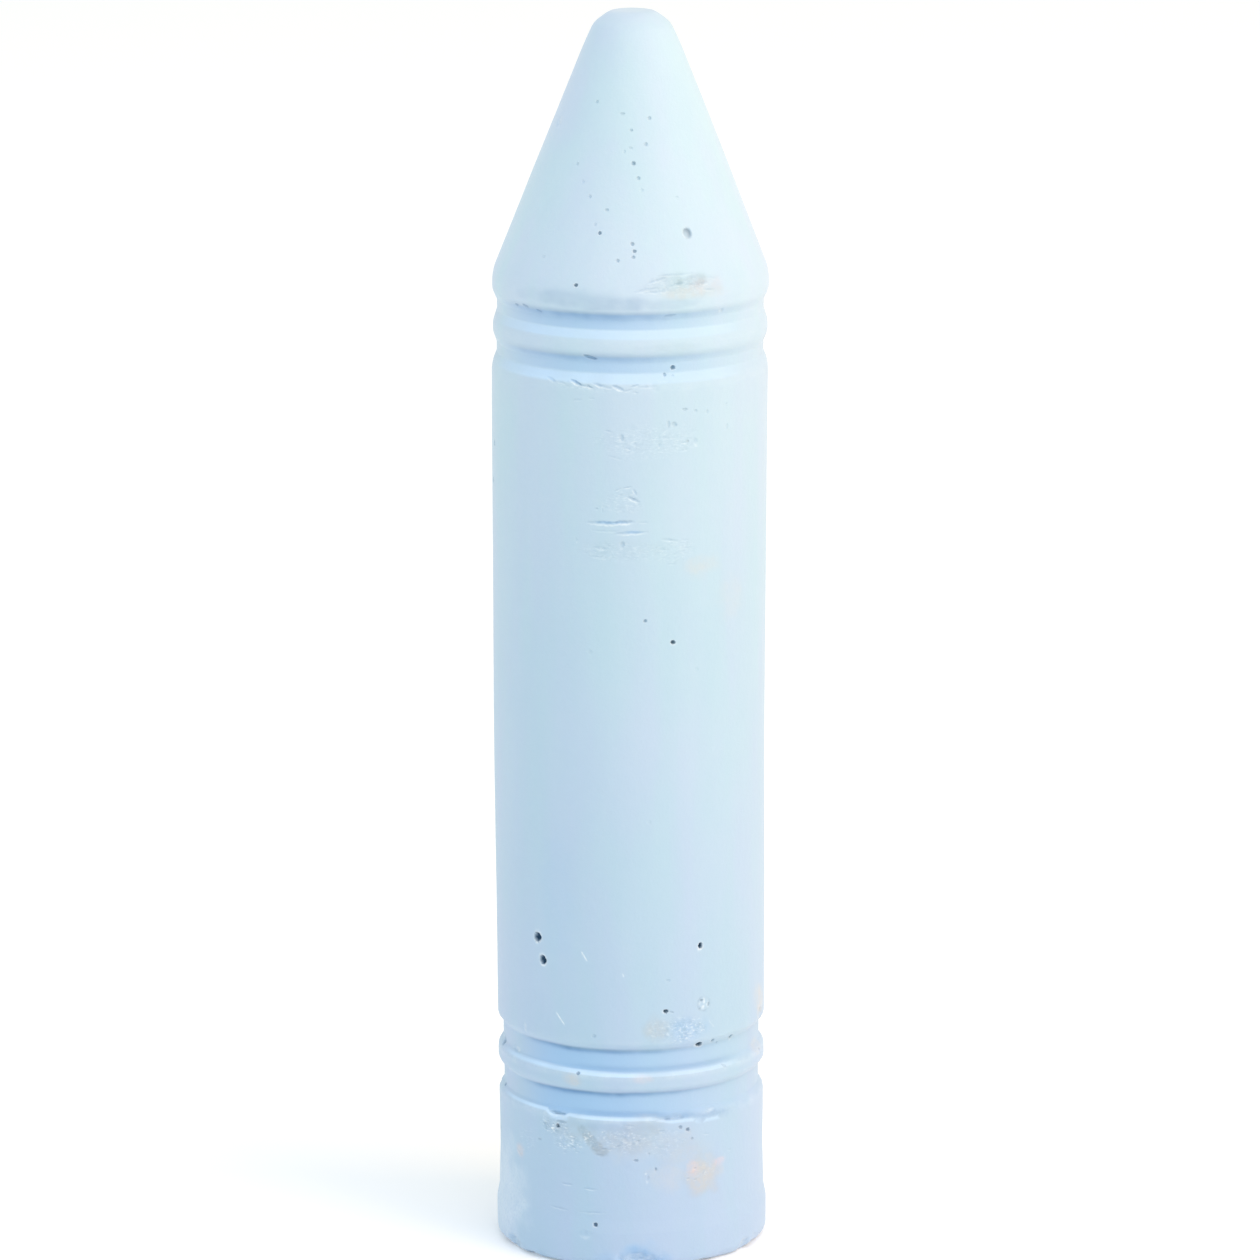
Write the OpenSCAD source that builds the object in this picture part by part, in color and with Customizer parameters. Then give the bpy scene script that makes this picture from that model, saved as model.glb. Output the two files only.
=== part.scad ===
// Pavement chalk: one casting with a blunt conical nose, a grooved neck, a slightly
// drafted barrel and a grooved, flared foot that it stands on.
// Millimetres, +Z up, with the middle of the foot at the origin.

/* [Stick] */
// Height from the foot to the tip
stick_h = 114; // [90:0.5:140]
// Diameter at the shoulder and at the top of the barrel
barrel_d = 25; // [20:0.1:31]
// How much narrower the barrel is at its bottom, so that the casting leaves its mould
barrel_draft = 0.45; // [0:0.05:1.5]

/* [Nose] */
// Height of the cone, from the shoulder to the tip
nose_h = 23.6; // [18:0.1:32]
// Diameter at which the cone would meet the flat end
tip_d = 6.3; // [4:0.1:9]
// Radius of the rounding at the tip
tip_round = 3.7; // [1:0.1:5]
// Radius of the rounding at the shoulder
shoulder_round = 4; // [1:0.1:8]

/* [Neck grooves] */
// Distance from the shoulder down to the middle of the upper groove
neck_drop = 2.95; // [2.5:0.05:6]
// Distance between the middles of the two neck grooves
neck_pitch = 3.85; // [3.2:0.05:6]
// Depth of the neck grooves
neck_groove_depth = 0.36; // [0.2:0.01:1.2]
// Width of the floor of a neck groove
neck_floor_w = 0.95; // [0.5:0.05:1.3]
// Height of the upper wall of a neck groove
neck_upper_wall = 0.9; // [0.2:0.05:1.1]
// Height of the lower wall of a neck groove, which is worn back
neck_lower_wall = 1.15; // [0.2:0.05:1.4]
// How much narrower than the barrel the worn ring between the neck grooves is
neck_ring_relief = 0.15; // [0:0.05:0.6]
// Radius of the worn lips of the neck grooves
neck_lip_round = 1.4; // [0.2:0.1:2]
// Radius of the lip under the neck grooves, which is worn most
neck_low_lip_round = 3; // [0.2:0.1:5]

/* [Foot grooves] */
// Height of the middle of the lower groove above the foot
foot_rise = 15.6; // [12:0.1:22]
// Distance between the middles of the two foot grooves
foot_pitch = 4.15; // [3.4:0.05:6]
// Depth of the foot grooves
foot_groove_depth = 0.48; // [0.2:0.01:1.2]
// Width of the floor of a foot groove
foot_floor_w = 1.75; // [0.6:0.05:1.85]
// Height of the upper wall of a foot groove
foot_upper_wall = 0.55; // [0.2:0.05:0.75]
// Height of the lower wall of a foot groove
foot_lower_wall = 0.7; // [0.2:0.05:0.75]
// How much narrower than the barrel's bottom the ring between the foot grooves is
foot_ring_relief = 0.05; // [0:0.05:0.5]
// Radius of the lips of the foot grooves
foot_lip_round = 0.5; // [0.1:0.1:1.5]

/* [Foot] */
// How much narrower than the barrel's bottom the foot is just under its grooves
foot_top_relief = 0.15; // [0:0.05:0.6]
// How much narrower than the barrel's bottom the waist is
waist_relief = 0.3; // [0:0.05:0.8]
// Height of the waist above the foot
waist_z = 8.6; // [6.5:0.1:10]
// How much wider than the waist the band round the foot is
foot_flare = 0.65; // [0.1:0.05:1.5]
// Height of that band
foot_band_h = 3.4; // [2:0.1:5]
// Height of the slope over the band, and how much wider than the waist its top is
foot_slope_h = 1.2; // [0.4:0.1:1.4]
foot_slope_flare = 0.2; // [0.05:0.05:0.5]
// Radius of the rounding at the foot's edge
foot_round = 1; // [0.2:0.1:1.6]

/* [Wear] */
// Share of the full depth that the air pits and chips are cut to
wear = 1; // [0.3:0.05:1.2]

/* [Hidden] */
chalk_blue = [0.72, 0.84, 0.92];
$fn = 72;
pit_fn = 20;
// Degrees of turn for each flat of a rounding, and the least turn that is rounded
arc_step = 15;
least_turn = 0.05;
// Radii of the roundings at the grooves' floors and over the foot
floor_round = 0.25;
band_round = 1;
foot_slope_round = 2;
waist_round = 20;

barrel_r = barrel_d / 2;
barrel_low_r = barrel_r - barrel_draft / 2;
neck_ring_r = barrel_r - neck_ring_relief / 2;
foot_ring_r = barrel_low_r - foot_ring_relief / 2;
foot_top_r = barrel_low_r - foot_top_relief / 2;
waist_r = barrel_low_r - waist_relief / 2;
foot_slope_r = waist_r + foot_slope_flare / 2;
foot_r = waist_r + foot_flare / 2;

shoulder_z = stick_h - nose_h;
neck_top_z = shoulder_z - neck_drop;
neck_low_z = neck_top_z - neck_pitch;
foot_low_z = foot_rise;
foot_top_z = foot_low_z + foot_pitch;
// The barrel runs between its top lip, under the neck, and its bottom lip, over the foot
barrel_top_z = neck_low_z - neck_floor_w / 2 - neck_lower_wall;
barrel_low_z = foot_top_z + foot_floor_w / 2 + foot_upper_wall;
// The lip under the lower foot groove
foot_lip_z = foot_low_z - foot_floor_w / 2 - foot_lower_wall;
nose_lean = atan((barrel_r - tip_d / 2) / nose_h);

// The larger air pits, dents and chips, as [turn, rise, width, depth]. The turn is in
// degrees from the front towards +X, and the rise is from the place that the list names.
FOOT_PITS = [
    [2, 0.6, 3.6, 0.5],
    [-58, 0.3, 3.2, 0.6],
    [57, 0.2, 2.6, 0.45],
    [150, 0.4, 3, 0.5]
];
FOOT_LIP_CHIPS = [
    [-38, -0.2, 1.6, 0.35],
    [-31, -0.1, 1.4, 0.3]
];
BARREL_LOW_PITS = [
    [-44, 9.4, 1, 0.38],
    [-41, 7.3, 0.9, 0.34],
    [32, 3.7, 1.1, 0.2],
    [75, 0.6, 1.6, 0.3],
    [-120, 31, 0.9, 0.34]
];
BARREL_TOP_CHIPS = [
    [-33, -0.4, 1.5, 0.2],
    [-15, -0.1, 1.4, 0.2],
    [-160, -0.2, 1.6, 0.25]
];
TIP_PITS = [
    [-15, -19.3, 0.8, 0.3],
    [28, -19.5, 1, 0.25],
    [140, -14, 0.8, 0.3]
];

function unit(v) = v / norm(v);

// The corner of an outline between two others, rounded by an arc. The arc takes no more
// than half of either side, so it stays within the walls that it joins.
function rounded(before, at, after, radius) =
    let (
        u = unit(before - at),
        v = unit(after - at),
        half = acos(max(-1, min(1, u * v))) / 2,
        turn = 180 - 2 * half,
        room = min(norm(before - at), norm(after - at)) / 2.05,
        r = min(radius, room * tan(half))
    )
    radius == 0 || turn < least_turn ? [at] :
    let (
        centre = at + unit(u + v) * r / sin(half),
        from = at + u * r / tan(half) - centre,
        start = atan2(from.y, from.x),
        sweep = turn * sign(cross(v, u)),
        steps = ceil(turn / arc_step)
    )
    [for (i = [0:steps]) centre + r * [cos(start + sweep * i / steps), sin(start + sweep * i / steps)]];

// The four corners of a groove in the foot, from its lower lip to its upper lip, as
// [radius, height, rounding]. It lies between a skin of one radius below and another above.
function foot_groove(z, below_r, above_r) =
    let (floor_r = min(below_r, above_r) - foot_groove_depth, floor_half = foot_floor_w / 2)
    [
        [below_r, z - floor_half - foot_lower_wall, foot_lip_round],
        [floor_r, z - floor_half, floor_round],
        [floor_r, z + floor_half, floor_round],
        [above_r, z + floor_half + foot_upper_wall, foot_lip_round]
    ];

// The same for a groove in the neck, with a rounding of its own for the lower lip
function neck_groove(z, below_r, above_r, low_lip_round) =
    let (floor_r = min(below_r, above_r) - neck_groove_depth, floor_half = neck_floor_w / 2)
    [
        [below_r, z - floor_half - neck_lower_wall, low_lip_round],
        [floor_r, z - floor_half, floor_round],
        [floor_r, z + floor_half, floor_round],
        [above_r, z + floor_half + neck_upper_wall, neck_lip_round]
    ];

corners = [
    [0, 0, 0],
    [foot_r, 0, foot_round],
    [foot_r, foot_band_h, band_round],
    [foot_slope_r, foot_band_h + foot_slope_h, foot_slope_round],
    [waist_r, waist_z, waist_round],
    each foot_groove(foot_low_z, foot_top_r, foot_ring_r),
    each foot_groove(foot_top_z, foot_ring_r, barrel_low_r),
    each neck_groove(neck_low_z, barrel_r, neck_ring_r, neck_low_lip_round),
    each neck_groove(neck_top_z, neck_ring_r, barrel_r, neck_lip_round),
    [barrel_r, shoulder_z, shoulder_round],
    [tip_d / 2, stick_h, tip_round],
    [0, stick_h, 0]
];

outline = [
    for (i = [0:len(corners) - 1])
        let (
            last = len(corners) - 1,
            a = corners[max(i - 1, 0)],
            b = corners[i],
            c = corners[min(i + 1, last)]
        )
        each i == 0 || i == last ? [[b.x, b.y]] : rounded([a.x, a.y], [b.x, b.y], [c.x, c.y], b.z)
];

// Radius of the stick's skin at a height, with no groove
function skin_r(z) = lookup(z, [
    [0, foot_r], [foot_band_h, foot_r], [waist_z, waist_r], [barrel_low_z, barrel_low_r],
    [barrel_top_z, barrel_r], [shoulder_z, barrel_r], [stick_h, tip_d / 2]
]);

// The ball that leaves a round pit of this mouth width and depth in the skin. Its seam is
// turned outwards, clear of the cut.
module pit_ball(turn, z, width, depth) {
    cut = depth * wear;
    ball_r = (width * width / 4 + cut * cut) / (2 * cut);
    lean = z > shoulder_z ? nose_lean : 0;
    rotate([0, 0, turn])
        translate([0, -skin_r(z), z])
            rotate([-lean, 0, 0])
                translate([0, cut - ball_r, 0])
                    rotate([0, 0, -90])
                        sphere(r = ball_r, $fn = pit_fn);
}

module pit_balls(pits, from_z) {
    for (p = pits) pit_ball(p[0], from_z + p[1], p[2], p[3]);
}

// The whole stick, turned from its outline and pitted
module chalk_stick() {
    color(chalk_blue)
        difference() {
            rotate_extrude() polygon(outline);
            pit_balls(FOOT_PITS, 0);
            pit_balls(FOOT_LIP_CHIPS, foot_lip_z);
            pit_balls(BARREL_LOW_PITS, barrel_low_z);
            pit_balls(BARREL_TOP_CHIPS, barrel_top_z);
            pit_balls(TIP_PITS, stick_h);
        }
}

chalk_stick();
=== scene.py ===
import math
import random

import bmesh
import bpy
from bpy.props import FloatProperty, FloatVectorProperty, IntProperty, PointerProperty
from bpy.types import Operator, Panel, PropertyGroup
from mathutils import Matrix, Vector, kdtree, noise


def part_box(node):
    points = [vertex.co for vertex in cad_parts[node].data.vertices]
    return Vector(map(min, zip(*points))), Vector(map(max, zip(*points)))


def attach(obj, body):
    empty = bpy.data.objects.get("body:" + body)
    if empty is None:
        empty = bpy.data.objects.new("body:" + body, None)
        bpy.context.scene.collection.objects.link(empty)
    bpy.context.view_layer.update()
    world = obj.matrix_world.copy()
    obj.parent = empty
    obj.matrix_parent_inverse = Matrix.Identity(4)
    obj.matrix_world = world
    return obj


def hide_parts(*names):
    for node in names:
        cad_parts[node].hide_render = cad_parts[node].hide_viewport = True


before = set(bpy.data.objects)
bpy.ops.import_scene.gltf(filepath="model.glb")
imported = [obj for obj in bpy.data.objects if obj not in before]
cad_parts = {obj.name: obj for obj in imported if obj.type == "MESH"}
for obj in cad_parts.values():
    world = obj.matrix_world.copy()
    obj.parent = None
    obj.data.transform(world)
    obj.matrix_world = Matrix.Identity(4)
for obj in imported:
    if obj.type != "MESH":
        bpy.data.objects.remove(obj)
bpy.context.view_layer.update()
STICK_LOW, STICK_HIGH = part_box("chalk_stick")

bl_info = {
    "name": "Chalk Stick",
    "version": (1, 0, 0),
    "blender": (4, 5, 0),
    "location": "View3D > Sidebar > Chalk",
    "description": "Makes a moulded stick of pavement chalk, and a plain studio round it",
    "category": "Add Mesh",
}

MM = 0.001

# How the mesh is laid out: flats round the stick, and the height of a row of faces in
# millimetres on the plain skin, in the grooves and at the foot's edge
STEPS = 136
ROW_PLAIN = 0.68
ROW_GROOVE = 0.16
ROW_EDGE = 0.25

# Radii of the roundings at the grooves' floors and over the foot
FLOOR_ROUND = 0.25 * MM
BAND_ROUND = 1 * MM
SLOPE_ROUND = 2 * MM
WAIST_ROUND = 20 * MM

# The least turn of the outline that is rounded. A rounding takes no more of each side than
# that side divided by SIDE_PARTS, so two of them never meet on it.
LEAST_TURN = math.radians(0.05)
SIDE_PARTS = 2.05

# How the mesh is made finer at the marks: rounds of splitting, how far a mark is felt, the
# edge that is never split, how much longer than wanted an edge may be, and how fast the
# wanted length grows away from the mark, with lengths in millimetres
REFINE_ROUNDS = 4
REFINE_REACH = 3.2
SHORTEST_EDGE = 0.08
LENGTH_SLACK = 1.45
LENGTH_GROWTH = 0.8

# Length of edge that each kind of mark wants, in millimetres: the least of it for a bubble,
# and for crumbled skin that which is deeper than DEEP_CRUMBS and that which isn't. A scratch
# wants it at so many spots along it.
BUBBLE_CELL = 0.055
RING_CELL = 0.08
DENT_CELL = 0.07
CHIP_CELL = 0.12
BITE_CELL = 0.16
DEEP_CRUMBS, DEEP_CELL, SHALLOW_CELL = 0.035, 0.12, 0.2
SCRATCH_CELL, SCRATCH_SPOTS = 0.08, 7

# Where the nose starts to lean, where the barrel bows most, and how far along the stick the
# bow is felt, as shares of its height
LEAN_FROM = 0.61
BOW_AT, BOW_REACH = 0.42, 0.12

# Points closer than this in metres are one point, and a point lower than this is in the
# foot's flat face
SAME_PLACE = 1e-6
# The most triangles that the stick may have; with more, making it stops with an error.
# With more triangles than about this many, the stick's STL file would be thinned
MOST_TRIANGLES = 199000

# Width of the camera's sensor in millimetres, and how near and far it sees in metres
SENSOR_WIDTH = 36
CLIP_START, CLIP_END = 0.01, 20

# What the skin carries besides its shape, as an attribute of the mesh for each
COATS = ("hollow_shade", "powder_and_highlight", "fresh_and_shade", "clean", "crease_shade", "rough", "ochre", "rose", "grime")

# How each groove is shaded, from the lowest up: amounts of unpaled pigment, darkened as painted
# shade, and of clean chalk lit as a painted highlight, where that light line starts and ends
# above the lower lip, and how dark the painted shade line over it is, then the amount of the
# upper crease's painted shade, its drop below the upper lip, and its thickness above and below
# that
GROOVE_LOOKS = (
    (0.72, 0.88, 0.16, 0.43, 0.42, 1.0, 0.42, 0.2, 0.27),
    (0.7, 0.88, 0.14, 0.51, 0.34, 0.95, 0.57, 0.2, 0.24),
    (0.5, 0.62, 0.25, 1.16, 0, 0.58, 0.36, 0.35, 0.45),
    (0.55, 0.58, 0.4, 1.22, 0, 0.72, 0.36, 0.32, 0.62),
)

# How each groove's lower lip and then its upper lip crumble: how far the wear reaches, its
# share of the lip wear, and how much powder it leaves
LIP_WEAR = (
    ((0.6, 1.2, 0.3), (0.5, 0.8, 0.1)),
    ((0.6, 1.2, 0.3), (0.5, 1.2, 0.1)),
    ((0.9, 1.4, 0.1), (0.8, 1.0, 0.0)),
    ((0.8, 0.8, 0.1), (0.7, 0.8, 0.0)),
)

# Marks are given as a turn in degrees from the front towards +X and a height above the
# foot in millimetres, then a width round the stick, a height along it and a depth, also in
# millimetres. Where a mark leans, its last value is by how many degrees its right end is
# tipped upwards.

# Air bubbles that opened on the nose. The sixth value is how dark the painted shade makes the
# bottom.
NOSE_BUBBLES = [
    (-30.5, 106.5, 0.3, 0.3, 0.1, 0.13),
    (-7.5, 105.6, 0.42, 0.22, 0.08, 0.25),
    (13.5, 105.2, 0.32, 0.34, 0.12, 0.26),
    (-0.5, 104.2, 0.34, 0.26, 0.1, 0.23),
    (9.5, 103, 0.34, 0.34, 0.12, 0.21),
    (-1, 102.7, 0.42, 0.2, 0.06, 0.18),
    (-5, 102.4, 0.22, 0.3, 0.05, 0.13),
    (1, 101.4, 0.36, 0.36, 0.2, 0.37),
    (4, 100.15, 0.34, 0.34, 0.12, 0.25),
    (5.5, 99.15, 0.34, 0.3, 0.05, 0.08),
    (-36, 101.15, 0.3, 0.32, 0.08, 0.15),
    (-29.5, 99.7, 0.3, 0.3, 0.06, 0.1),
    (-23.5, 98.5, 0.28, 0.28, 0.1, 0.15),
    (-13, 97.45, 0.38, 0.28, 0.08, 0.26),
    (-18.5, 96.2, 0.28, 0.34, 0.05, 0.16),
    (-15.5, 95.5, 0.34, 0.34, 0.22, 0.47),
    (0.5, 94.6, 0.32, 0.32, 0.16, 0.31),
    (1.5, 94, 0.32, 0.32, 0.18, 0.45),
    (1, 93.5, 0.32, 0.3, 0.14, 0.31),
    (-6, 93.2, 0.32, 0.3, 0.12, 0.23),
    (-23.5, 91, 0.36, 0.34, 0.26, 0.64),
    (25.5, 98.4, 0.4, 0.2, 0.05, 0.1),
    (-43, 93.1, 0.5, 0.3, 0.05, 0.1),
]

# Air bubbles on the barrel, the rings and the foot; some are drawn out and lean
BODY_BUBBLES = [
    (-55.5, 88.5, 0.5, 0.28, 0.1, 0.2),
    (-49, 88.6, 0.9, 0.24, 0.12, 0.24, -12),
    (-41.5, 88.35, 0.6, 0.2, 0.07, 0.28, -10),
    (16.5, 88.32, 1.2, 0.22, 0.06, 0.26, 6),
    (-17, 84.6, 1.2, 0.36, 0.14, 0.36, -18),
    (18.3, 83.6, 0.4, 0.42, 0.28, 0.56),
    (14.6, 83, 0.3, 0.3, 0.14, 0.3),
    (18, 82.9, 0.24, 0.2, 0.05, 0.2),
    (23, 79.8, 0.5, 0.24, 0.08, 0.2),
    (28, 79.6, 0.34, 0.26, 0.06, 0.16),
    (33.5, 79.4, 0.28, 0.4, 0.06, 0.13),
    (43.5, 79.8, 0.26, 0.26, 0.05, 0.11),
    (44, 77.8, 0.34, 0.5, 0.05, 0.1),
    (-3.4, 77.45, 0.36, 0.7, 0.08, 0.16, 12),
    (18.5, 78.5, 0.5, 0.36, 0.1, 0.2, -30),
    (16, 78.6, 0.3, 0.6, 0.07, 0.16),
    (24.5, 76.9, 0.26, 0.22, 0.07, 0.24),
    (-3, 67.75, 0.44, 0.46, 0.1, 0.17),
    (6.5, 60.7, 0.32, 0.32, 0.16, 0.37),
    (18.4, 58.6, 0.42, 0.4, 0.34, 0.87),
    (-16.5, 57.8, 0.46, 0.4, 0.04, 0.07),
    (29, 55.9, 0.46, 0.4, 0.04, 0.07),
    (8, 42.1, 0.4, 0.4, 0.03, 0.05),
    (-43.4, 30.56, 0.74, 0.84, 0.4, 1, 12),
    (-40.4, 28.5, 0.66, 0.88, 0.4, 1, 8),
    (31, 30.1, 0.42, 0.56, 0.42, 1, -14),
    (15, 24.3, 0.48, 0.36, 0.34, 0.88),
    (17.5, 24.2, 0.5, 0.16, 0.05, 0.3, -20),
    (16, 27.2, 0.46, 0.26, 0.05, 0.16),
    (-16, 22, 0.36, 0.36, 0.08, 0.15),
    (31.5, 24.95, 0.34, 0.24, 0.1, 0.42),
    (35, 24.5, 0.22, 0.4, 0.08, 0.4, -10),
    (30.5, 24.2, 0.3, 0.22, 0.06, 0.3, 40),
    (31.3, 20.75, 0.66, 0.56, 0.5, 0.97, -4),
    (38.4, 20.84, 0.4, 0.42, 0.16, 0.48),
    (41.5, 20.5, 0.22, 0.2, 0.06, 0.25),
    (50, 20.74, 0.46, 0.5, 0.18, 0.58),
    (-23.5, 18.3, 0.36, 0.34, 0.14, 0.6),
    (44, 18.3, 0.6, 0.26, 0.08, 0.25, -30),
    (-33.3, 14.27, 1.7, 0.22, 0.12, 0.42, -2),
    (-31.5, 13.5, 1.1, 0.2, 0.06, 0.36, -2),
    (-33.5, 13, 0.36, 0.38, 0.28, 0.86),
    (-43.5, 11.4, 0.46, 0.2, 0.06, 0.22),
    (-40, 13, 0.3, 0.26, 0.06, 0.22),
    (21.5, 13.2, 0.32, 0.3, 0.14, 0.37),
    (25, 12.9, 0.36, 0.36, 0.2, 0.47),
    (27, 12, 0.3, 0.26, 0.08, 0.32),
    (2, 10.3, 0.44, 0.24, 0.1, 0.42),
    (7.5, 10.9, 0.26, 0.22, 0.05, 0.18),
    (10.5, 9.4, 0.24, 0.34, 0.1, 0.3),
    (-15.5, 4.1, 0.4, 0.38, 0.28, 0.72),
    (-79, 18.8, 0.7, 0.7, 0.2, 0.35),
]

# Holes whose roof broke away: deepest under their upper right edge, where painted shadow
# darkens them, with a painted highlight on the lower left
CRATERS = [
    (28, 95.3, 0.94, 1.04, 0.26),
]

# Rings left round bubbles whose skin stayed on
BLISTERS = [
    (32.5, 24.6, 1.3, 1.3, 0.05),
]

# Dents and gouges with a steep upper wall and a long lower slope
DENTS = [
    # the ragged lip under the neck
    (-34.5, 82.3, 1.2, 0.4, 0.07, -22),
    (-30, 82.15, 1.2, 0.26, 0.05, -8),
    (-23, 82.25, 1.2, 0.44, 0.15, -24),
    (-19.5, 82, 1, 0.26, 0.08, -12),
    (-17, 81.95, 0.8, 0.28, 0.12, -18),
    (-12.5, 82.1, 1.5, 0.36, 0.08, -14),
    (-9, 81.9, 1, 0.22, 0.05),
    (-5, 81.9, 1.3, 0.42, 0.1, -24),
    (-1, 81.7, 0.9, 0.24, 0.06, 12),
    (2, 82.1, 0.8, 0.26, 0.06, 12),
    (2, 81.5, 0.6, 0.22, 0.05, -8),
    (7, 82, 2, 0.26, 0.04),
    (-22, 80.7, 1, 0.26, 0.04, 4),
    (-16, 80.9, 0.6, 0.22, 0.03),
    # the curved scuff under it
    (-5, 72.7, 0.8, 0.22, 0.05, 24),
    (-1, 72.9, 0.9, 0.22, 0.06, 10),
    (2, 72.5, 0.6, 0.3, 0.05, -60),
    (-3.5, 72.2, 0.7, 0.2, 0.04, 14),
    (1.5, 71.8, 1.3, 0.36, 0.09, -24),
    (-11, 70.9, 0.7, 0.18, 0.05, 86),
    (-13.5, 70.9, 0.3, 0.24, 0.06),
    # two gouges round the barrel, and the scuffs under them
    (-10.5, 69.62, 3.6, 0.44, 0.08),
    (-2.5, 69.72, 2, 0.44, 0.1, 2),
    (5.5, 69.7, 1, 0.24, 0.04),
    (-10, 68.9, 2.8, 0.26, 0.03),
    (0.5, 68.75, 3.2, 0.38, 0.07, 3),
    (-12, 67.3, 1.2, 0.4, 0.05, -8),
    (-9, 67.6, 1, 0.16, 0.03),
    (-22.5, 67.9, 0.3, 0.5, 0.03, 10),
    (16.5, 68, 1.8, 0.3, 0.05, -8),
    (23, 67.9, 1, 0.24, 0.03),
    (13, 67.15, 1.2, 0.26, 0.04),
    (24, 67.2, 1.6, 0.24, 0.02, 2),
    (-13, 66.5, 2, 0.3, 0.03, -3),
    (17.5, 65.8, 0.9, 0.24, 0.03),
    # pocks over the rough belt of the upper barrel
    (-9, 78, 0.9, 0.22, 0.04, -10),
    (2, 76.8, 0.5, 0.4, 0.03),
    (-1, 76.4, 0.8, 0.22, 0.04, -10),
    (12, 76.6, 0.3, 0.5, 0.04),
    (16, 77.3, 2.4, 0.2, 0.03),
    (23, 76.8, 0.7, 0.3, 0.05),
    (28, 76.8, 0.5, 0.9, 0.04, 10),
    (23, 76.1, 1, 0.24, 0.04, 8),
    (-6, 75.6, 1.4, 0.22, 0.03, -14),
    # flakes lost from the shoulder
    (6, 90.7, 2.2, 0.36, 0.05, 10),
    (11, 91.5, 2.2, 0.34, 0.05, 16),
    (10, 90.5, 2.6, 0.3, 0.04),
    (17, 91.9, 2.4, 0.3, 0.04),
    (14, 90.6, 1.2, 0.36, 0.05, 4),
    (20, 91.1, 1.4, 0.4, 0.05, 8),
    (23, 91.9, 2, 0.34, 0.03, 4),
    (26, 91, 1.8, 0.3, 0.03, -4),
    (32, 91, 1, 0.4, 0.05),
    (34, 90.4, 1.4, 0.3, 0.04, -4),
    (36, 91.4, 1.2, 0.34, 0.02, -14),
    (22, 90.3, 2.4, 0.3, 0.02, -2),
    # the foot
    (34, 12.2, 0.9, 0.2, 0.03, -10),
    (-26, 12, 0.5, 0.22, 0.06, -8),
    (-25.5, 11.2, 0.4, 0.22, 0.05),
    (-24, 10.8, 0.6, 0.2, 0.04, -8),
    (-30, 10.6, 0.5, 0.2, 0.04),
    (-38, 10.2, 0.5, 0.2, 0.04),
    (-12, 11.3, 0.6, 0.24, 0.06, 10),
    (-14, 10.7, 0.7, 0.2, 0.05),
    (-9, 11.3, 0.5, 0.2, 0.05, 20),
    (-1, 13.6, 1, 0.2, 0.05, -8),
    (-4, 12.4, 0.7, 0.2, 0.04),
    (2.5, 12.1, 0.6, 0.24, 0.05),
    (-5.5, 11.6, 0.6, 0.2, 0.04, 8),
    (13, 13, 0.6, 0.24, 0.04),
    (14, 11.4, 0.8, 0.2, 0.04),
    (-58, 9.4, 1.1, 0.3, 0.04, -40),
    (25, 8.2, 0.4, 0.24, 0.05),
    (28.5, 8, 0.5, 0.24, 0.05),
    (33, 8.6, 0.6, 0.3, 0.04, 60),
    (28.5, 9.1, 0.3, 0.24, 0.07),
    (47.5, 10.1, 0.5, 0.2, 0.03),
    (7, 8.5, 0.3, 0.8, 0.04, -10),
    (-20, 3.2, 1.3, 0.9, 0.03),
    (-33, 5.2, 2.2, 0.24, 0.04, -4),
    (-17, 5.2, 3, 0.22, 0.035, 2),
    (-29, 7.6, 1.3, 0.26, 0.05),
    (-18, 7.4, 1.4, 0.24, 0.05),
]

# Pieces broken from the lower lip of the foot's lower groove and from other edges
EDGE_CHIPS = [
    (-34.5, 14, 2.2, 0.8, 0.24, -8),
    (12, 14.1, 2.6, 0.44, 0.2),
    (19, 14.15, 2.2, 0.4, 0.16, 5),
    (37, 14.3, 1.2, 0.5, 0.14, 10),
    (75, 21.6, 1.4, 1.4, 0.3),
    (-69, 104.3, 0.9, 0.9, 0.16),
    (41, 88.3, 0.6, 0.5, 0.14),
    (-52, 21.6, 0.5, 1.5, 0.07),
    (-62, 19, 1.4, 0.6, 0.12),
    (-95, 13.9, 1.8, 0.7, 0.2),
    (128, 21.3, 1.7, 0.7, 0.2),
    (-140, 82, 1.8, 0.6, 0.16, 8),
]

# Bites out of the foot's edge
FOOT_BITES = [
    (2, 0.5, 4.6, 2.2, 0.42),
    (12, 0.2, 2.6, 1.3, 0.25),
    (-12, 0.1, 3, 1.2, 0.2),
    (-61, 0.7, 2.6, 1.5, 0.5),
    (-48, 0.1, 2.2, 1, 0.3),
    (-72, 0, 2.4, 1, 0.3),
    (57, 0.5, 1.7, 1.4, 0.4),
    (64, 0, 2.4, 1.1, 0.35),
    (33, 0, 2.2, 0.8, 0.2),
    (-30, 0, 2, 0.8, 0.16),
    (150, 0.4, 3.2, 1.6, 0.45),
    (-128, 0.2, 2.4, 1.2, 0.3),
    (108, 0, 2.2, 0.9, 0.25),
]

# Crumbled skin: after the depth comes how much of it is broken
CRUMBLES = [
    (22, 22.4, 5.6, 3, 0.05, 0.3),
    (26, 22.4, 3.6, 2.6, 0.05, 0.42),
    (12, 22.6, 3, 2.6, 0.04, 0.16),
    (-36, 12.9, 3.4, 1.6, 0.06, 0.75),
    (-28, 11.8, 4.2, 2.4, 0.04, 0.46),
    (-18.5, 12.1, 1.3, 2.8, 0.06, 0.5, 38),
    (-4, 12.2, 6, 3.2, 0.035, 0.26),
    (13, 11.8, 6, 3.6, 0.03, 0.14),
    (32, 8.6, 4.4, 3, 0.02, 0.08),
    (-52, 11, 3.6, 3, 0.02, 0.15),
    (-4, 67, 10, 2.4, 0.02, 0.16),
    (18, 67, 6, 3, 0.02, 0.14),
    (7, 77, 12, 4, 0.02, 0.18),
    (-4, 71.6, 4.6, 3, 0.02, 0.18),
    (20, 91.1, 8.2, 2.4, 0.03, 0.14),
    (5, 1.2, 4.6, 2.2, 0.04, 0.08),
    (-20, 81.9, 6, 0.8, 0.03, 0.2),
]

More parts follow.
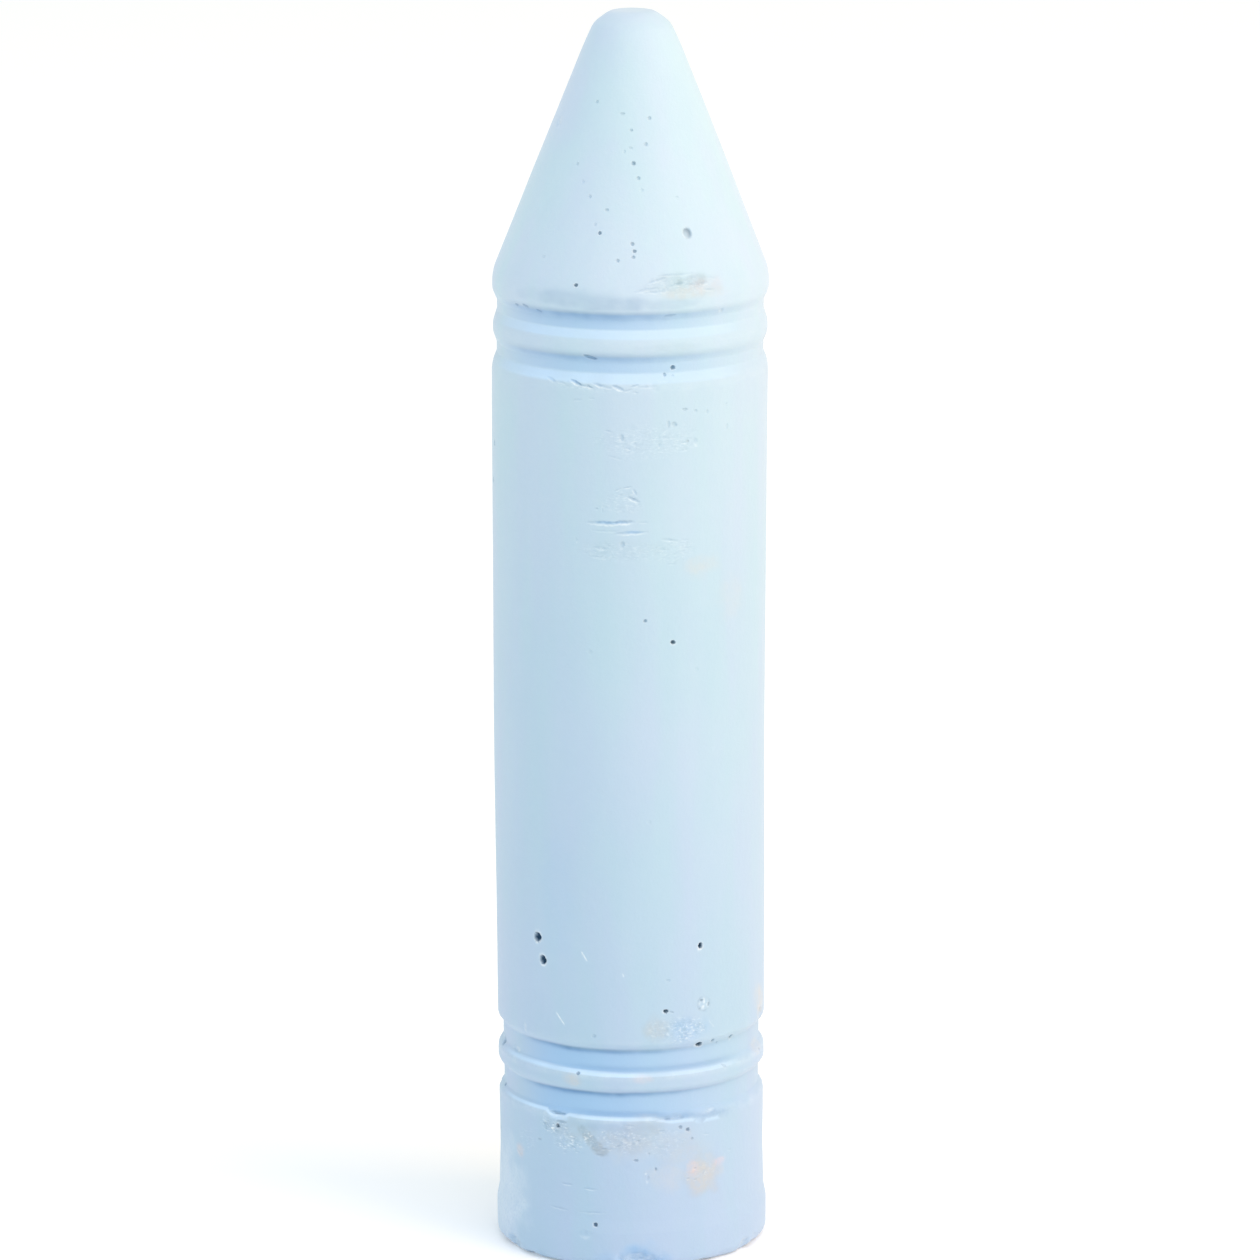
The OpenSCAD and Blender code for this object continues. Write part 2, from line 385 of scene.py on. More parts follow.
# Scuffed places on the sides and the back: turn, height, and how far they spread in degrees
# round the stick and in millimetres along it
SCUFFS = [
    (104, 81.9, 16, 0.5),
    (-128, 81.9, 18, 0.5),
    (146, 68.5, 16, 2.4),
    (-96, 57, 12, 2.4),
    (172, 44, 14, 2.6),
    (-106, 22.2, 12, 0.8),
    (165, 11.6, 18, 1.8),
    (98, 10.5, 14, 1.8),
    (-160, 91, 14, 1),
]

# Light scratches that show newly loosened chalk dust: turn and height at each end, width and depth
SCRATCHES = [
    (-21.5, 29.9, -18.5, 28.9, 0.2, 0.03),
    (-34, 23.9, -29, 22.6, 0.2, 0.03),
    (35, 23, 38.5, 22.1, 0.16, 0.01),
    (-3.5, 28, -2.8, 27.6, 0.2, 0.02),
    (6, 9.05, 6.6, 8.95, 0.3, 0.02),
    (-12.8, 12.95, -12.2, 12.85, 0.24, 0.02),
    (-26.4, 11.75, -25.4, 11.7, 0.2, 0.02),
    (-36.5, 12.45, -35.5, 12.4, 0.24, 0.02),
    (-35.3, 12.8, -34.8, 12.8, 0.24, 0.02),
    (-41.3, 13.6, -40.7, 13.6, 0.24, 0.02),
    (-30.2, 12.6, -29.8, 12.6, 0.2, 0.02),
]

# Stains in the skin, each with its strength instead of a depth: rusty ones
OCHRE_STAINS = [
    (22, 90.3, 6, 1.2, 0.3),
    (36, 90.1, 3, 1.2, 0.16),
    (11, 22.8, 2.8, 2.8, 0.22),
    (76, 22.7, 3, 3.4, 0.55),
    (70, 23.6, 2.4, 2.6, 0.3),
    (74, 18.6, 3, 1.8, 0.35),
    (-25, 17.7, 2, 1.5, 0.45),
    (-14.5, 11.2, 1.6, 1.2, 0.16),
    (-19, 12.4, 1.4, 1.6, 0.2),
    (-24, 12.6, 5, 2, 0.12),
    (2, 12, 9, 4.4, 0.17),
    (22, 11.4, 8, 4.6, 0.12),
    (1, 13.2, 3.6, 1.2, 0.14),
    (24, 12.4, 1.6, 0.8, 0.3),
    (26.5, 9.2, 1.4, 1.8, 0.45),
    (32, 8.5, 4.4, 4.3, 0.55),
    (24, 10.6, 5, 3.4, 0.2),
    (42, 8.4, 1.3, 1.4, 0.3),
    (35, 9.9, 1.8, 1.4, 0.25),
    (17, 8.6, 5, 3, 0.22),
    (8, 14.4, 1.8, 0.8, 0.15),
    (31, 65.4, 4, 2.4, 0.25),
    (48, 62, 4, 5, 0.12),
    (-57, 9.6, 1.2, 1.4, 0.3),
    (168, 12, 3, 3, 0.35),
    (-130, 66, 3.6, 3, 0.25),
    (120, 30, 3, 3, 0.2),
]
# Pink ones
ROSE_STAINS = [
    (41.5, 9.3, 1.6, 0.9, 0.26),
    (27, 9.2, 1.4, 1.8, 0.2),
    (33, 90.9, 4, 1.4, 0.12),
    (5, 18, 2.4, 1, 0.15),
    (-57, 9.6, 1.6, 2, 0.15),
]
# Dirt on the shoulder, in a streak and a patch on the foot, and over the rough places
GRIME_STAINS = [
    (20, 91.2, 7.8, 2.2, 0.45),
    (27, 91.3, 4.6, 1.4, 0.8),
    (10, 91, 3.6, 1.7, 0.25),
    (35, 90.6, 3, 1.4, 0.25),
    (16, 85.4, 6.5, 1, 0.2),
    (-21.8, 13, 1.2, 1.3, 0.8),
    (-19.8, 12.5, 1.2, 1.3, 0.95),
    (-17.5, 12, 1.3, 1.3, 1),
    (-15.2, 11.5, 1.3, 1.2, 1),
    (-12.8, 11, 1.5, 1, 0.8),
    (32, 8.5, 4.8, 4.6, 0.45),
    (-25, 13, 7, 2.6, 0.25),
    (0, 12.4, 8, 3.4, 0.3),
    (20, 11, 7, 4, 0.12),
    (25, 90.2, 6, 1.2, 0.22),
    (12, 12.2, 6, 3.4, 0.12),
    (13, 18.2, 7, 1, 0.12),
    (11, 22.7, 3.2, 3, 0.3),
    (22, 22.4, 5, 3, 0.12),
    (-2, 67.4, 9, 2.6, 0.08),
    (170, 70, 8, 3, 0.2),
]
# Painted shade under the shoulder, under the lower foot groove and in the bruise at the foot
PAINTED_SHADE_STAINS = [
    (-26, 89.7, 12, 2.2, 0.3),
    (-6, 89.4, 11, 1.7, 0.38),
    (14, 89.3, 8, 1.2, 0.26),
    (-4, 13.4, 8, 1.3, 0.16),
    (5, 1, 4.2, 2.6, 0.3),
]
# Pigment that no dust has paled, in the gouges, the bruise and the crumbled places; in the
# gouges and the bruise it is also painted shade, and under the chipped foot lip a painted shadow
# line
FRESH_AND_SHADE_STAINS = [
    (-6.5, 69.7, 3.4, 0.34, 0.5),
    (1, 68.84, 2.8, 0.34, 0.45),
    (4, 1, 5, 3.2, 0.7),
    (-8, 0.6, 4.6, 2, 0.3),
    (-33, 14.35, 1.8, 0.3, 0.9),
    (25, 22.3, 4.4, 3, 0.42),
    (-33, 34, 4.5, 15, 0.1),
]
# Painted light along the foot's left side, a lighter rim there
PAINTED_RIM_LIGHT = [
    (-71, 4.2, 9, 12, 0.45),
]
# Clean chalk on the floor of the chip under the lower foot groove
CLEAN_STAINS = [
    (-33.8, 13.85, 2.2, 0.7, 1),
]


def length(name, description, size):
    """A size that the sidebar shows in the scene's own unit; the default is in millimetres."""
    return FloatProperty(
        name=name, description=description, default=size * MM, unit="LENGTH", precision=5
    )


def tint(name, description, colour):
    """A colour that the sidebar shows as a swatch."""
    return FloatVectorProperty(
        name=name, description=description, default=colour, size=4, min=0, max=1, subtype="COLOR"
    )


def share(name, description, amount, most=1.0):
    """A plain number between nothing and a limit."""
    return FloatProperty(name=name, description=description, default=amount, min=0, max=most)


def angle(name, description, degrees):
    """An angle, whose default is in degrees."""
    return FloatProperty(
        name=name, description=description, default=math.radians(degrees), subtype="ANGLE"
    )


class ChalkShape(PropertyGroup):
    """Sizes of the turned outline."""

    stick_h: length("Height", "From the foot to the tip", (STICK_HIGH.z - STICK_LOW.z) / MM)
    barrel_d: length(
        "Barrel diameter", "Across the barrel's top", (STICK_HIGH.x - STICK_LOW.x) / MM
    )
    barrel_draft: length("Draft", "How much narrower the barrel is at its bottom", 0.45)
    nose_h: length("Nose height", "From the shoulder to the tip", 23.6)
    tip_d: length("Tip diameter", "Where the cone would meet the flat end", 6.3)
    tip_round: length("Tip rounding", "Radius of the rounding at the tip", 3.7)
    shoulder_round: length("Shoulder rounding", "Radius of the rounding at the shoulder", 4)
    neck_drop: length("Neck drop", "From the shoulder to the upper groove's middle", 2.95)
    neck_pitch: length("Neck pitch", "Between the middles of the neck grooves", 3.85)
    neck_depth: length("Neck groove depth", "Depth of the neck grooves", 0.36)
    neck_floor: length("Neck groove floor", "Width of a neck groove's floor", 0.95)
    neck_upper_wall: length("Neck upper wall", "Height of a neck groove's upper wall", 0.9)
    neck_lower_wall: length("Neck lower wall", "Height of a neck groove's lower wall", 1.15)
    neck_ring_relief: length("Neck ring relief", "How much narrower the worn ring is", 0.15)
    neck_lip: length("Neck lips", "Radius of the worn lips of the neck grooves", 1.4)
    neck_low_lip: length("Lip under the neck", "Radius of the lip that is worn most", 3)
    foot_rise: length("Foot rise", "Height of the lower foot groove's middle", 15.6)
    foot_pitch: length("Foot pitch", "Between the middles of the foot grooves", 4.15)
    foot_depth: length("Foot groove depth", "Depth of the foot grooves", 0.48)
    foot_floor: length("Foot groove floor", "Width of a foot groove's floor", 1.75)
    foot_upper_wall: length("Foot upper wall", "Height of a foot groove's upper wall", 0.55)
    foot_lower_wall: length("Foot lower wall", "Height of a foot groove's lower wall", 0.7)
    foot_ring_relief: length("Foot ring relief", "How much narrower the ring there is", 0.05)
    foot_lip: length("Foot lips", "Radius of the lips of the foot grooves", 0.5)
    foot_top_relief: length("Foot top relief", "How much narrower the foot starts", 0.15)
    waist_relief: length("Waist relief", "How much narrower the waist is", 0.3)
    waist_z: length("Waist height", "Height of the waist above the foot", 8.6)
    foot_flare: length("Foot flare", "How much wider than the waist the foot's band is", 0.65)
    foot_band: length("Foot band", "Height of that band", 3.4)
    foot_slope: length("Foot slope", "Height of the slope over the band", 1.2)
    slope_flare: length("Slope flare", "How much wider than the waist the slope's top is", 0.2)
    foot_round: length("Foot rounding", "Radius of the rounding at the foot's edge", 1)


class ChalkWear(PropertyGroup):
    """How far the skin is from an unworn turning."""

    wander: length("Wander", "How far the cast skin wanders in and out", 0.035)
    ripple: length("Ripple", "Depth of the finer unevenness", 0.007)
    lip_wear: length("Lip wear", "How far the grooves' lips crumble", 0.05)
    foot_wear: length("Foot wear", "How far the foot's edge crumbles", 0.16)
    lean: length("Lean", "How far the nose leans to the right at its tip", 0.33)
    bow: length("Bow", "How far the barrel's middle stands to the left", 0.1)
    tip_wear: length("Tip wear", "How far the tip's edge is rubbed down", 0.2)
    depth: share("Mark depth", "Share of their full depth that the marks are cut to", 1.0, 1.5)
    back_bubbles: IntProperty(
        name="Other bubbles", description="Small bubbles on the sides and the back", default=46
    )
    seed: IntProperty(name="Seed", description="Starts the order of random places", default=7)


class ChalkFinish(PropertyGroup):
    """Colours of the chalk."""

    sky: tint("Sky", "The greener of the pigment's two blues", (0.580, 0.745, 0.840, 1))
    lilac: tint("Lilac", "The redder of the pigment's two blues", (0.605, 0.720, 0.860, 1))
    # The washes are painted light from above: the pigment darker and bluer towards the foot, paler
    # up the neck and on the upward-facing nose
    foot_shade_wash: tint("Foot wash", "Multiplies the pigment at the foot", (0.665, 0.75, 0.85, 1))
    neck_light_wash: tint("Neck wash", "The same at the barrel's top", (0.80, 0.875, 0.88, 1))
    nose_light_wash: tint("Nose wash", "The same on the nose", (0.885, 0.93, 0.93, 1))
    # Fresh also paints shade on the grooves' floors and Clean a highlight on their lower walls;
    # Crease wash paints shade in creases, dents and under the shoulder
    fresh_and_shade: tint("Fresh", "Pigment in the grooves that no dust has paled", (0.295, 0.52, 0.80, 1))
    clean: tint("Clean", "Chalk on the grooves' lower walls", (0.54, 0.75, 0.96, 1))
    crease_shade_wash: tint("Crease wash", "Multiplies the pigment in a crease", (0.42, 0.54, 0.68, 1))
    grit: tint("Grit", "The darker crumbs in broken skin", (0.31, 0.47, 0.58, 1))
    # Powder also paints highlights on bubbles' rims, under dents, in the crater and along the
    # foot's left side
    powder_and_highlight: tint("Powder", "Loose chalk on worn edges", (0.80, 0.90, 0.95, 1))
    # Hollow is painted shade in open bubbles and other small hollows
    hollow_shade: tint("Hollow", "The bottoms of open bubbles", (0.011, 0.058, 0.125, 1))
    ochre: tint("Ochre", "Rusty stains", (0.63, 0.585, 0.52, 1))
    rose: tint("Rose", "Pink stains", (0.95, 0.60, 0.55, 1))
    grime: tint("Grime", "Multiplies the pigment where it is dirty", (0.68, 0.70, 0.69, 1))
    grain: length("Grain", "Depth of the powdery grain", 0.012)


class StudioSet(PropertyGroup):
    """Floor, light and camera."""

    floor_d: length("Floor", "Diameter of the floor", 6000)
    floor_colour: tint("Floor colour", "Plain pale floor", (0.95, 0.95, 0.95, 1))
    floor_glow: share("Floor glow", "Light that the floor gives of itself", 0.12)
    sky_colour: tint("Surroundings", "Colour of the light from all round", (0.95, 1.0, 0.985, 1))
    sky_light: share("Surrounding light", "Strength of the light from all round", 0.835, 5)
    key_light: share("Key light", "Watts of the lamp on the right", 9.2, 500)
    key_colour: tint("Key colour", "Colour of the lamp on the right", (1, 0.63, 0.35, 1))
    top_light: share("Top light", "Watts of the lamp over the front", 3.8, 500)
    top_colour: tint("Top colour", "Colour of the lamp over the front", (0.6, 0.7, 1, 1))
    fill_light: share("Fill light", "Watts of the lamp behind on the left", 0.72, 500)
    fill_colour: tint("Fill colour", "Colour of the lamp behind", (1, 0.7, 0.8, 1))
    camera_back: length("Camera distance", "From the stick's axis", 634.8)
    camera_up: length("Camera height", "Above the floor", 201.1)
    camera_lens: FloatProperty(
        name="Lens", description="Focal length", default=203.8, subtype="DISTANCE_CAMERA"
    )
    camera_tilt: angle("Tilt", "Below the horizon", 12.783)
    camera_roll: angle("Roll", "About its own axis", -0.15)


def smooth(t):
    """An even rise from 0 to 1 as t goes from 0 to 1."""
    t = min(1.0, max(0.0, t))
    return t * t * (3 - 2 * t)


# ---------------------------------------------------------------- the turned shape


def outline_corners(s):
    """Corners of the outline, from the foot's middle to the tip: radius, height, rounding."""
    barrel = s.barrel_d / 2
    barrel_low = barrel - s.barrel_draft / 2
    neck_ring = barrel - s.neck_ring_relief / 2
    foot_ring = barrel_low - s.foot_ring_relief / 2
    foot_top = barrel_low - s.foot_top_relief / 2
    waist = barrel_low - s.waist_relief / 2
    foot = waist + s.foot_flare / 2
    shoulder_z = s.stick_h - s.nose_h
    neck_top_z = shoulder_z - s.neck_drop
    neck_low_z = neck_top_z - s.neck_pitch
    foot_top_z = s.foot_rise + s.foot_pitch

    def groove(z, below, above, depth, floor, walls, lips):
        """The four corners of a groove, from its lower lip to its upper lip."""
        deep = min(below, above) - depth
        return [
            (below, z - floor / 2 - walls[0], lips[0]),
            (deep, z - floor / 2, FLOOR_ROUND),
            (deep, z + floor / 2, FLOOR_ROUND),
            (above, z + floor / 2 + walls[1], lips[1]),
        ]

    foot_cut = (s.foot_depth, s.foot_floor, (s.foot_lower_wall, s.foot_upper_wall))
    foot_lips = (s.foot_lip, s.foot_lip)
    neck_cut = (s.neck_depth, s.neck_floor, (s.neck_lower_wall, s.neck_upper_wall))
    return [
        (0, 0, 0),
        (foot, 0, s.foot_round),
        (foot, s.foot_band, BAND_ROUND),
        (waist + s.slope_flare / 2, s.foot_band + s.foot_slope, SLOPE_ROUND),
        (waist, s.waist_z, WAIST_ROUND),
        *groove(s.foot_rise, foot_top, foot_ring, *foot_cut, foot_lips),
        *groove(foot_top_z, foot_ring, barrel_low, *foot_cut, foot_lips),
        *groove(neck_low_z, barrel, neck_ring, *neck_cut, (s.neck_low_lip, s.neck_lip)),
        *groove(neck_top_z, neck_ring, barrel, *neck_cut, (s.neck_lip, s.neck_lip)),
        (barrel, shoulder_z, s.shoulder_round),
        (s.tip_d / 2, s.stick_h, s.tip_round),
        (0, s.stick_h, 0),
    ]


def row_height(s, z):
    """Height in millimetres of a row of faces at a height of the stick. The fine rows start
    below the grooves of the neck and the foot, and end at the shoulder and above the foot's."""
    neck_top = s.stick_h - s.nose_h
    neck_foot = neck_top - s.neck_drop - s.neck_pitch - 3 * MM
    ring_foot = s.foot_rise - 2 * MM
    ring_top = s.foot_rise + s.foot_pitch + 2 * MM
    if neck_foot < z < neck_top or ring_foot < z < ring_top:
        return ROW_GROOVE
    if z < 2 * s.foot_round:
        return ROW_EDGE
    return ROW_PLAIN


def draw_outline(bm, s):
    """The outline as a wire in the XZ plane, its corners rounded and its sides in rows."""
    corners = outline_corners(s)
    points = [Vector((r, 0, z)) for r, z, _ in corners]
    wire = [bm.verts.new(p) for p in points]
    for low, high in zip(wire, wire[1:]):
        bm.edges.new((low, high))
    for i in range(1, len(corners) - 1):
        before, after = points[i] - points[i - 1], points[i + 1] - points[i]
        turn, rounding = before.angle(after), corners[i][2]
        if turn < LEAST_TURN:
            continue
        room = min(before.length, after.length) / SIDE_PARTS
        row = row_height(s, points[i].z) * MM
        bmesh.ops.bevel(
            bm, geom=[wire[i]], affect="VERTICES", offset_type="OFFSET", profile=0.5, material=-1,
            offset=min(rounding * math.tan(turn / 2), room),
            segments=max(3, math.ceil(rounding * turn / row)),
        )
    for edge in bm.edges[:]:
        middle = (edge.verts[0].co + edge.verts[1].co) / 2
        cuts = math.ceil(edge.calc_length() / (row_height(s, middle.z) * MM)) - 1
        if cuts > 0:
            bmesh.ops.subdivide_edges(bm, edges=[edge], cuts=cuts)


def side_profile(bm):
    """Heights and radii of the outline's side, from the foot's edge up."""
    side = sorted((v.co.z, v.co.x) for v in bm.verts if v.co.z > SAME_PLACE)
    return [z for z, _ in side], [r for _, r in side]


def turn_outline(bm):
    """Spins the wire into a closed shell with its faces outwards."""
    bmesh.ops.spin(
        bm, geom=bm.verts[:] + bm.edges[:], cent=(0, 0, 0), axis=(0, 0, 1), angle=math.tau,
        steps=STEPS, use_merge=True,
    )
    bmesh.ops.remove_doubles(bm, verts=bm.verts, dist=SAME_PLACE)
    bmesh.ops.recalc_face_normals(bm, faces=bm.faces)


def true_round(bm):
    """Moves what lies on the flats between the spin's steps out to the round."""
    step = math.tau / STEPS
    flat = math.cos(step / 2)
    for v in bm.verts:
        turn = math.atan2(v.co.y, v.co.x) % step - step / 2
        grow = math.cos(turn) / flat
        v.co.x *= grow
        v.co.y *= grow


def point_tree(points):
    """A tree that finds which of the points are near a place."""
    tree = kdtree.KDTree(len(points))
    for i, point in enumerate(points):
        tree.insert(point, i)
    tree.balance()
    return tree


class Skin:
    """The side of the stick as a map: where a turn and a height are, and what is near them."""

    def __init__(self, heights, radii):
        self.heights = heights
        self.radii = radii

    def radius(self, z):
        """Radius of the unworn skin at a height."""
        low, high = 0, len(self.heights) - 1
        while high - low > 1:
            middle = (low + high) // 2
            if self.heights[middle] <= z:
                low = middle
            else:
                high = middle
        span = self.heights[high] - self.heights[low]
        t = min(1.0, max(0.0, (z - self.heights[low]) / span)) if span else 0.0
        return self.radii[low] + t * (self.radii[high] - self.radii[low])

    def spot(self, turn, height, lean=0.0):
        """A point of the skin, and the directions across and up the skin from it."""
        a, z = math.radians(turn), height * MM
        r = self.radius(z)
        reach = 0.4 * MM
        rise = self.radius(z + reach) - self.radius(z - reach)
        outward = Vector((math.sin(a), -math.cos(a), 0))
        across = Vector((math.cos(a), math.sin(a), 0))
        up = (outward * rise + Vector((0, 0, 2 * reach))).normalized()
        tilt = math.radians(lean)
        return (
            outward * r + Vector((0, 0, z)),
            across * math.cos(tilt) + up * math.sin(tilt),
            up * math.cos(tilt) - across * math.sin(tilt),
        )

    def settle(self, bm):
        """Takes stock of the refined shell before it is worn."""
        bm.normal_update()
        self.verts = bm.verts[:]
        self.place = [v.co.copy() for v in self.verts]
        self.out = [v.normal.copy() for v in self.verts]
        self.shift = [0.0] * len(self.verts)
        self.coats = {name: [0.0] * len(self.verts) for name in COATS}
        self.tree = point_tree(self.place)

    def near(self, turn, height, reach, lean=0.0):
        """Each vertex within reach of a spot, and how far across and up it is from there."""
        at, across, up = self.spot(turn, height, lean)
        for co, i, _ in self.tree.find_range(at, reach * MM):
            off = co - at
            yield i, off.dot(across) / MM, off.dot(up) / MM

    def lay(self, coat, i, amount):
        """Leaves at least this much of a coat on a vertex."""
        self.coats[coat][i] = max(self.coats[coat][i], amount)


def grainy(co, size, seed=0.0):
    """Even noise between about -1 and 1, with lumps of a size in millimetres."""
    return noise.noise(co / (size * MM) + Vector((seed, seed * 1.7, -seed)))


# ---------------------------------------------------------------- finer mesh at the marks


def focus_spots(skin, marks):
    """Where the mesh has to be fine: the point, the reach of the mark and the cell wanted."""
    spots = []

    def add(turn, height, width, tall, cell, lean=0.0):
        """A row of spots that covers a mark of that width and height."""
        long, short = max(width, tall), min(width, tall)
        count = max(1, round(long / max(short, 0.3)))
        at, across, up = skin.spot(turn, height, lean)
        way = across if width >= tall else up
        for i in range(count):
            step = ((i + 0.5) / count - 0.5) * long * MM
            reach = (0.6 * max(short, long / count) + cell) * MM
            spots.append((at + way * step, reach, cell * MM))

    for turn, height, width, tall, _, _, *lean in marks["bubbles"]:
        add(turn, height, width, tall, max(BUBBLE_CELL, min(width, tall) / 6), *lean)
    for turn, height, width, tall, _ in CRATERS + BLISTERS:
        add(turn, height, width * 1.1, tall * 1.1, RING_CELL)
    for places, cell in ((marks["dents"], DENT_CELL), (EDGE_CHIPS, CHIP_CELL)):
        for turn, height, width, tall, _, *lean in places:
            add(turn, height, width, tall, cell, *lean)
    for turn, height, width, tall, _ in FOOT_BITES:
        add(turn, max(height, 0.3), width, tall, BITE_CELL)
    for turn, height, width, tall, depth, _, *lean in marks["crumbles"]:
        cell = DEEP_CELL if depth > DEEP_CRUMBS else SHALLOW_CELL
        add(turn, height, width, tall, cell, *lean)
    for from_turn, from_z, to_turn, to_z, width, _ in SCRATCHES:
        for i in range(SCRATCH_SPOTS):
            t = i / (SCRATCH_SPOTS - 1)
            turn, z = from_turn + t * (to_turn - from_turn), from_z + t * (to_z - from_z)
            add(turn, z, width, width, SCRATCH_CELL)
    return spots


def refine(bm, spots):
    """Splits the edges near each spot until they are as short as it wants."""
    tree = point_tree([at for at, _, _ in spots])

    def too_long(edge):
        """Whether a spot within reach wants this edge to be split."""
        length_now = edge.calc_length()
        if length_now < SHORTEST_EDGE * MM:
            return False
        middle = (edge.verts[0].co + edge.verts[1].co) / 2
        for _, i, distance in tree.find_range(middle, REFINE_REACH * MM):
            _, reach, cell = spots[i]
            wanted = cell + max(0.0, distance - reach) * LENGTH_GROWTH
            if length_now > LENGTH_SLACK * wanted:
                return True
        return False

    for _ in range(REFINE_ROUNDS):
        long_edges = [e for e in bm.edges if too_long(e)]
        if not long_edges:
            break
        bmesh.ops.subdivide_edges(bm, edges=long_edges, cuts=1, use_grid_fill=True)
        ragged = [f for f in bm.faces if len(f.verts) > 4]
        if ragged:
            bmesh.ops.triangulate(bm, faces=ragged)
    # a point with only two edges lies in the side of a face, which would fold there
    spare = [v for v in bm.verts if len(v.link_edges) == 2]
    bmesh.ops.dissolve_verts(bm, verts=spare)


# ---------------------------------------------------------------- wear


def wander(skin, wear):
    """The slow unevenness of a cast skin, drawn out along the stick, and a finer ripple."""
    for i, co in enumerate(skin.place):
        drawn = Vector((co.x, co.y, co.z * 0.22))
        slow = grainy(drawn, 5.5, 3.1) + 0.5 * grainy(drawn, 2.6, 8.3)
        fine = grainy(co, 1.6, 1.9) + 0.6 * grainy(co, 0.8, 5.5)
        skin.shift[i] += (wear.wander * slow + wear.ripple * fine) / MM


def crumble_lip(skin, wear, height, reach, amount, dust):
    """Wears a groove's lip back unevenly, and leaves powder on it."""
    for i, co in enumerate(skin.place):
        off = (co.z / MM - height) / reach
        if abs(off) < 1:
            weight = (1 - off * off) ** 2
            bite = grainy(co, 1.1, height) + 0.7 * grainy(co, 0.45, height + 4)
            skin.shift[i] -= amount * weight * max(0.0, bite + 0.1) * wear.lip_wear / MM
            skin.lay("powder_and_highlight", i, dust * weight * max(0.0, 0.5 - 0.5 * bite))


def behind(turn):
    """How much of the grooves' shading there is at a turn of the back."""
    away = (turn - 10) % 360 - 180
    return 0.6 * math.exp(-((away / 40) ** 2))


def kept(start, rise, at, reach):
    """How much of a groove's shading is kept, by turn: it rises from nothing over so many
    degrees after a start, fades away from a turn, and comes back behind."""

    def left(turn):
        """The share of the shading at this turn."""
        front = smooth((turn - start) / rise) * math.exp(-(((turn - at) / reach) ** 2))
        return max(front, behind(turn))

    return left


def low_step(turn):
    """How far up the lowest groove's light line is moved at a turn, and how far down its
    crease. The line steps down where the lip under it broke away."""
    broken = 0.34 * smooth((turn - 8) / 10) + 0.28 * smooth((turn - 24) / 10)
    broken += 0.36 * smooth((turn + 40.5) / 4) * smooth((-27.5 - turn) / 3)
    down = 0.14 * smooth((5 - turn) / 20) + 0.1 * smooth((turn + 20) / 15)
    return -0.15 * smooth((turn + 32) / 8) - broken, down


def top_step(turn):
    """The same for the foot's upper groove, whose line drops a little towards the front."""
    return -0.15 * smooth((turn + 45) / 45), 0.12 * smooth((turn + 40) / 12)


def no_step(turn):
    """The same for the neck grooves, where both run level."""
    return 0, 0


def dress_groove(skin, groove, look, left, step):
    """Shades a groove, given as the heights of its middle and its two lips: painted shade in a
    crease under its upper lip, pigment that no dust has paled on its floor, darkened there as
    painted shade, and a light line over its lower lip, bare chalk with a painted highlight, under
    a thin painted shade line. Left says how much of this is kept at a turn, and step how far up
    the light line and how far down the crease are moved there."""
    fresh_and_shade, clean, low, high, corner_shade, crease_shade, drop, above, below = look
    middle, foot, head = groove
    soft = 0.13 + 0.4 * max(0.0, high - low - 0.5)
    for i, co in enumerate(skin.place):
        z = co.z / MM
        if not foot - 1 < z < head + 1:
            continue
        turn = math.degrees(math.atan2(co.x, -co.y))
        amount = left(turn)
        front = smooth((110 - abs(turn)) / 15)
        line_up, crease_down = (front * off for off in step(turn))
        line = z - foot - line_up
        ragged = grainy(co, 0.8, middle)
        roof = z - head + drop + crease_down + 0.12 * crease_shade * above * ragged
        # The floor: unpaled pigment, darkened as painted shade where left keeps most
        floor = smooth((line - high) / soft + 0.5) * smooth(0.5 - roof / 0.2)
        skin.lay("fresh_and_shade", i, fresh_and_shade * amount * floor)
        # The light line: clean chalk with a painted highlight on the lower wall
        light = smooth((line - low) / soft + 0.5) * smooth((high - line) / soft + 0.5)
        ends = max(smooth((turn + 80) / 25) * smooth((58 - turn) / 20), behind(turn))
        ends *= (1 + 0.35 * grainy(co, 2.4, middle)) * (1 - 0.4 * front * smooth((turn + 5) / 25))
        skin.lay("clean", i, clean * light * ends)
        # A thin painted shade line just above the light line
        edge = corner_shade * math.exp(-(((line - high - 0.28) / 0.25) ** 2))
        edge *= smooth((turn + 35) / 25) * smooth((58 - turn) / 20)
        # Painted shade in the crease under the upper lip
        under = crease_shade * amount * math.exp(-((roof / (above if roof > 0 else below)) ** 2))
        under *= 0.94 + 0.3 * ragged
        skin.lay("crease_shade", i, max(edge, under))


def from_middle(u, w, width, tall):
    """How far out of a mark's middle a place is: 1 at the mark's edge."""
    return math.hypot(2 * u / width, 2 * w / tall)


def pit(skin, wear, turn, height, width, tall, depth, dark, lean=0.0):
    """An open bubble: a bowl with a steep wall and an uneven mouth, darkened inside with painted
    shade, with a light rim that is a painted highlight, most on its lower side."""
    rim = 1.7
    dark = 0.86 * dark**1.4 if dark < 1 else 1.0
    for i, u, w in skin.near(turn, height, 0.9 * max(width, tall), lean):
        wobble = 1 + 0.22 * noise.noise(Vector((u / width * 1.6 + turn, w / tall * 1.6, height)))
        q = from_middle(u, w, width, tall) * wobble
        if q < 1:
            skin.shift[i] -= wear.depth * depth * math.sqrt(1 - q**4)
            skin.lay("hollow_shade", i, dark * smooth((1.1 - q) / 0.25))
        elif q < rim:
            below = 0.5 + 0.5 * max(0.0, -w / math.hypot(u, w))
            skin.lay("hollow_shade", i, dark * smooth((1.1 - q) / 0.25))
            # A painted highlight round the rim, most on its lower side
            skin.lay("powder_and_highlight", i, dark * below * smooth(1.3 * (rim - q) / (rim - 1)))


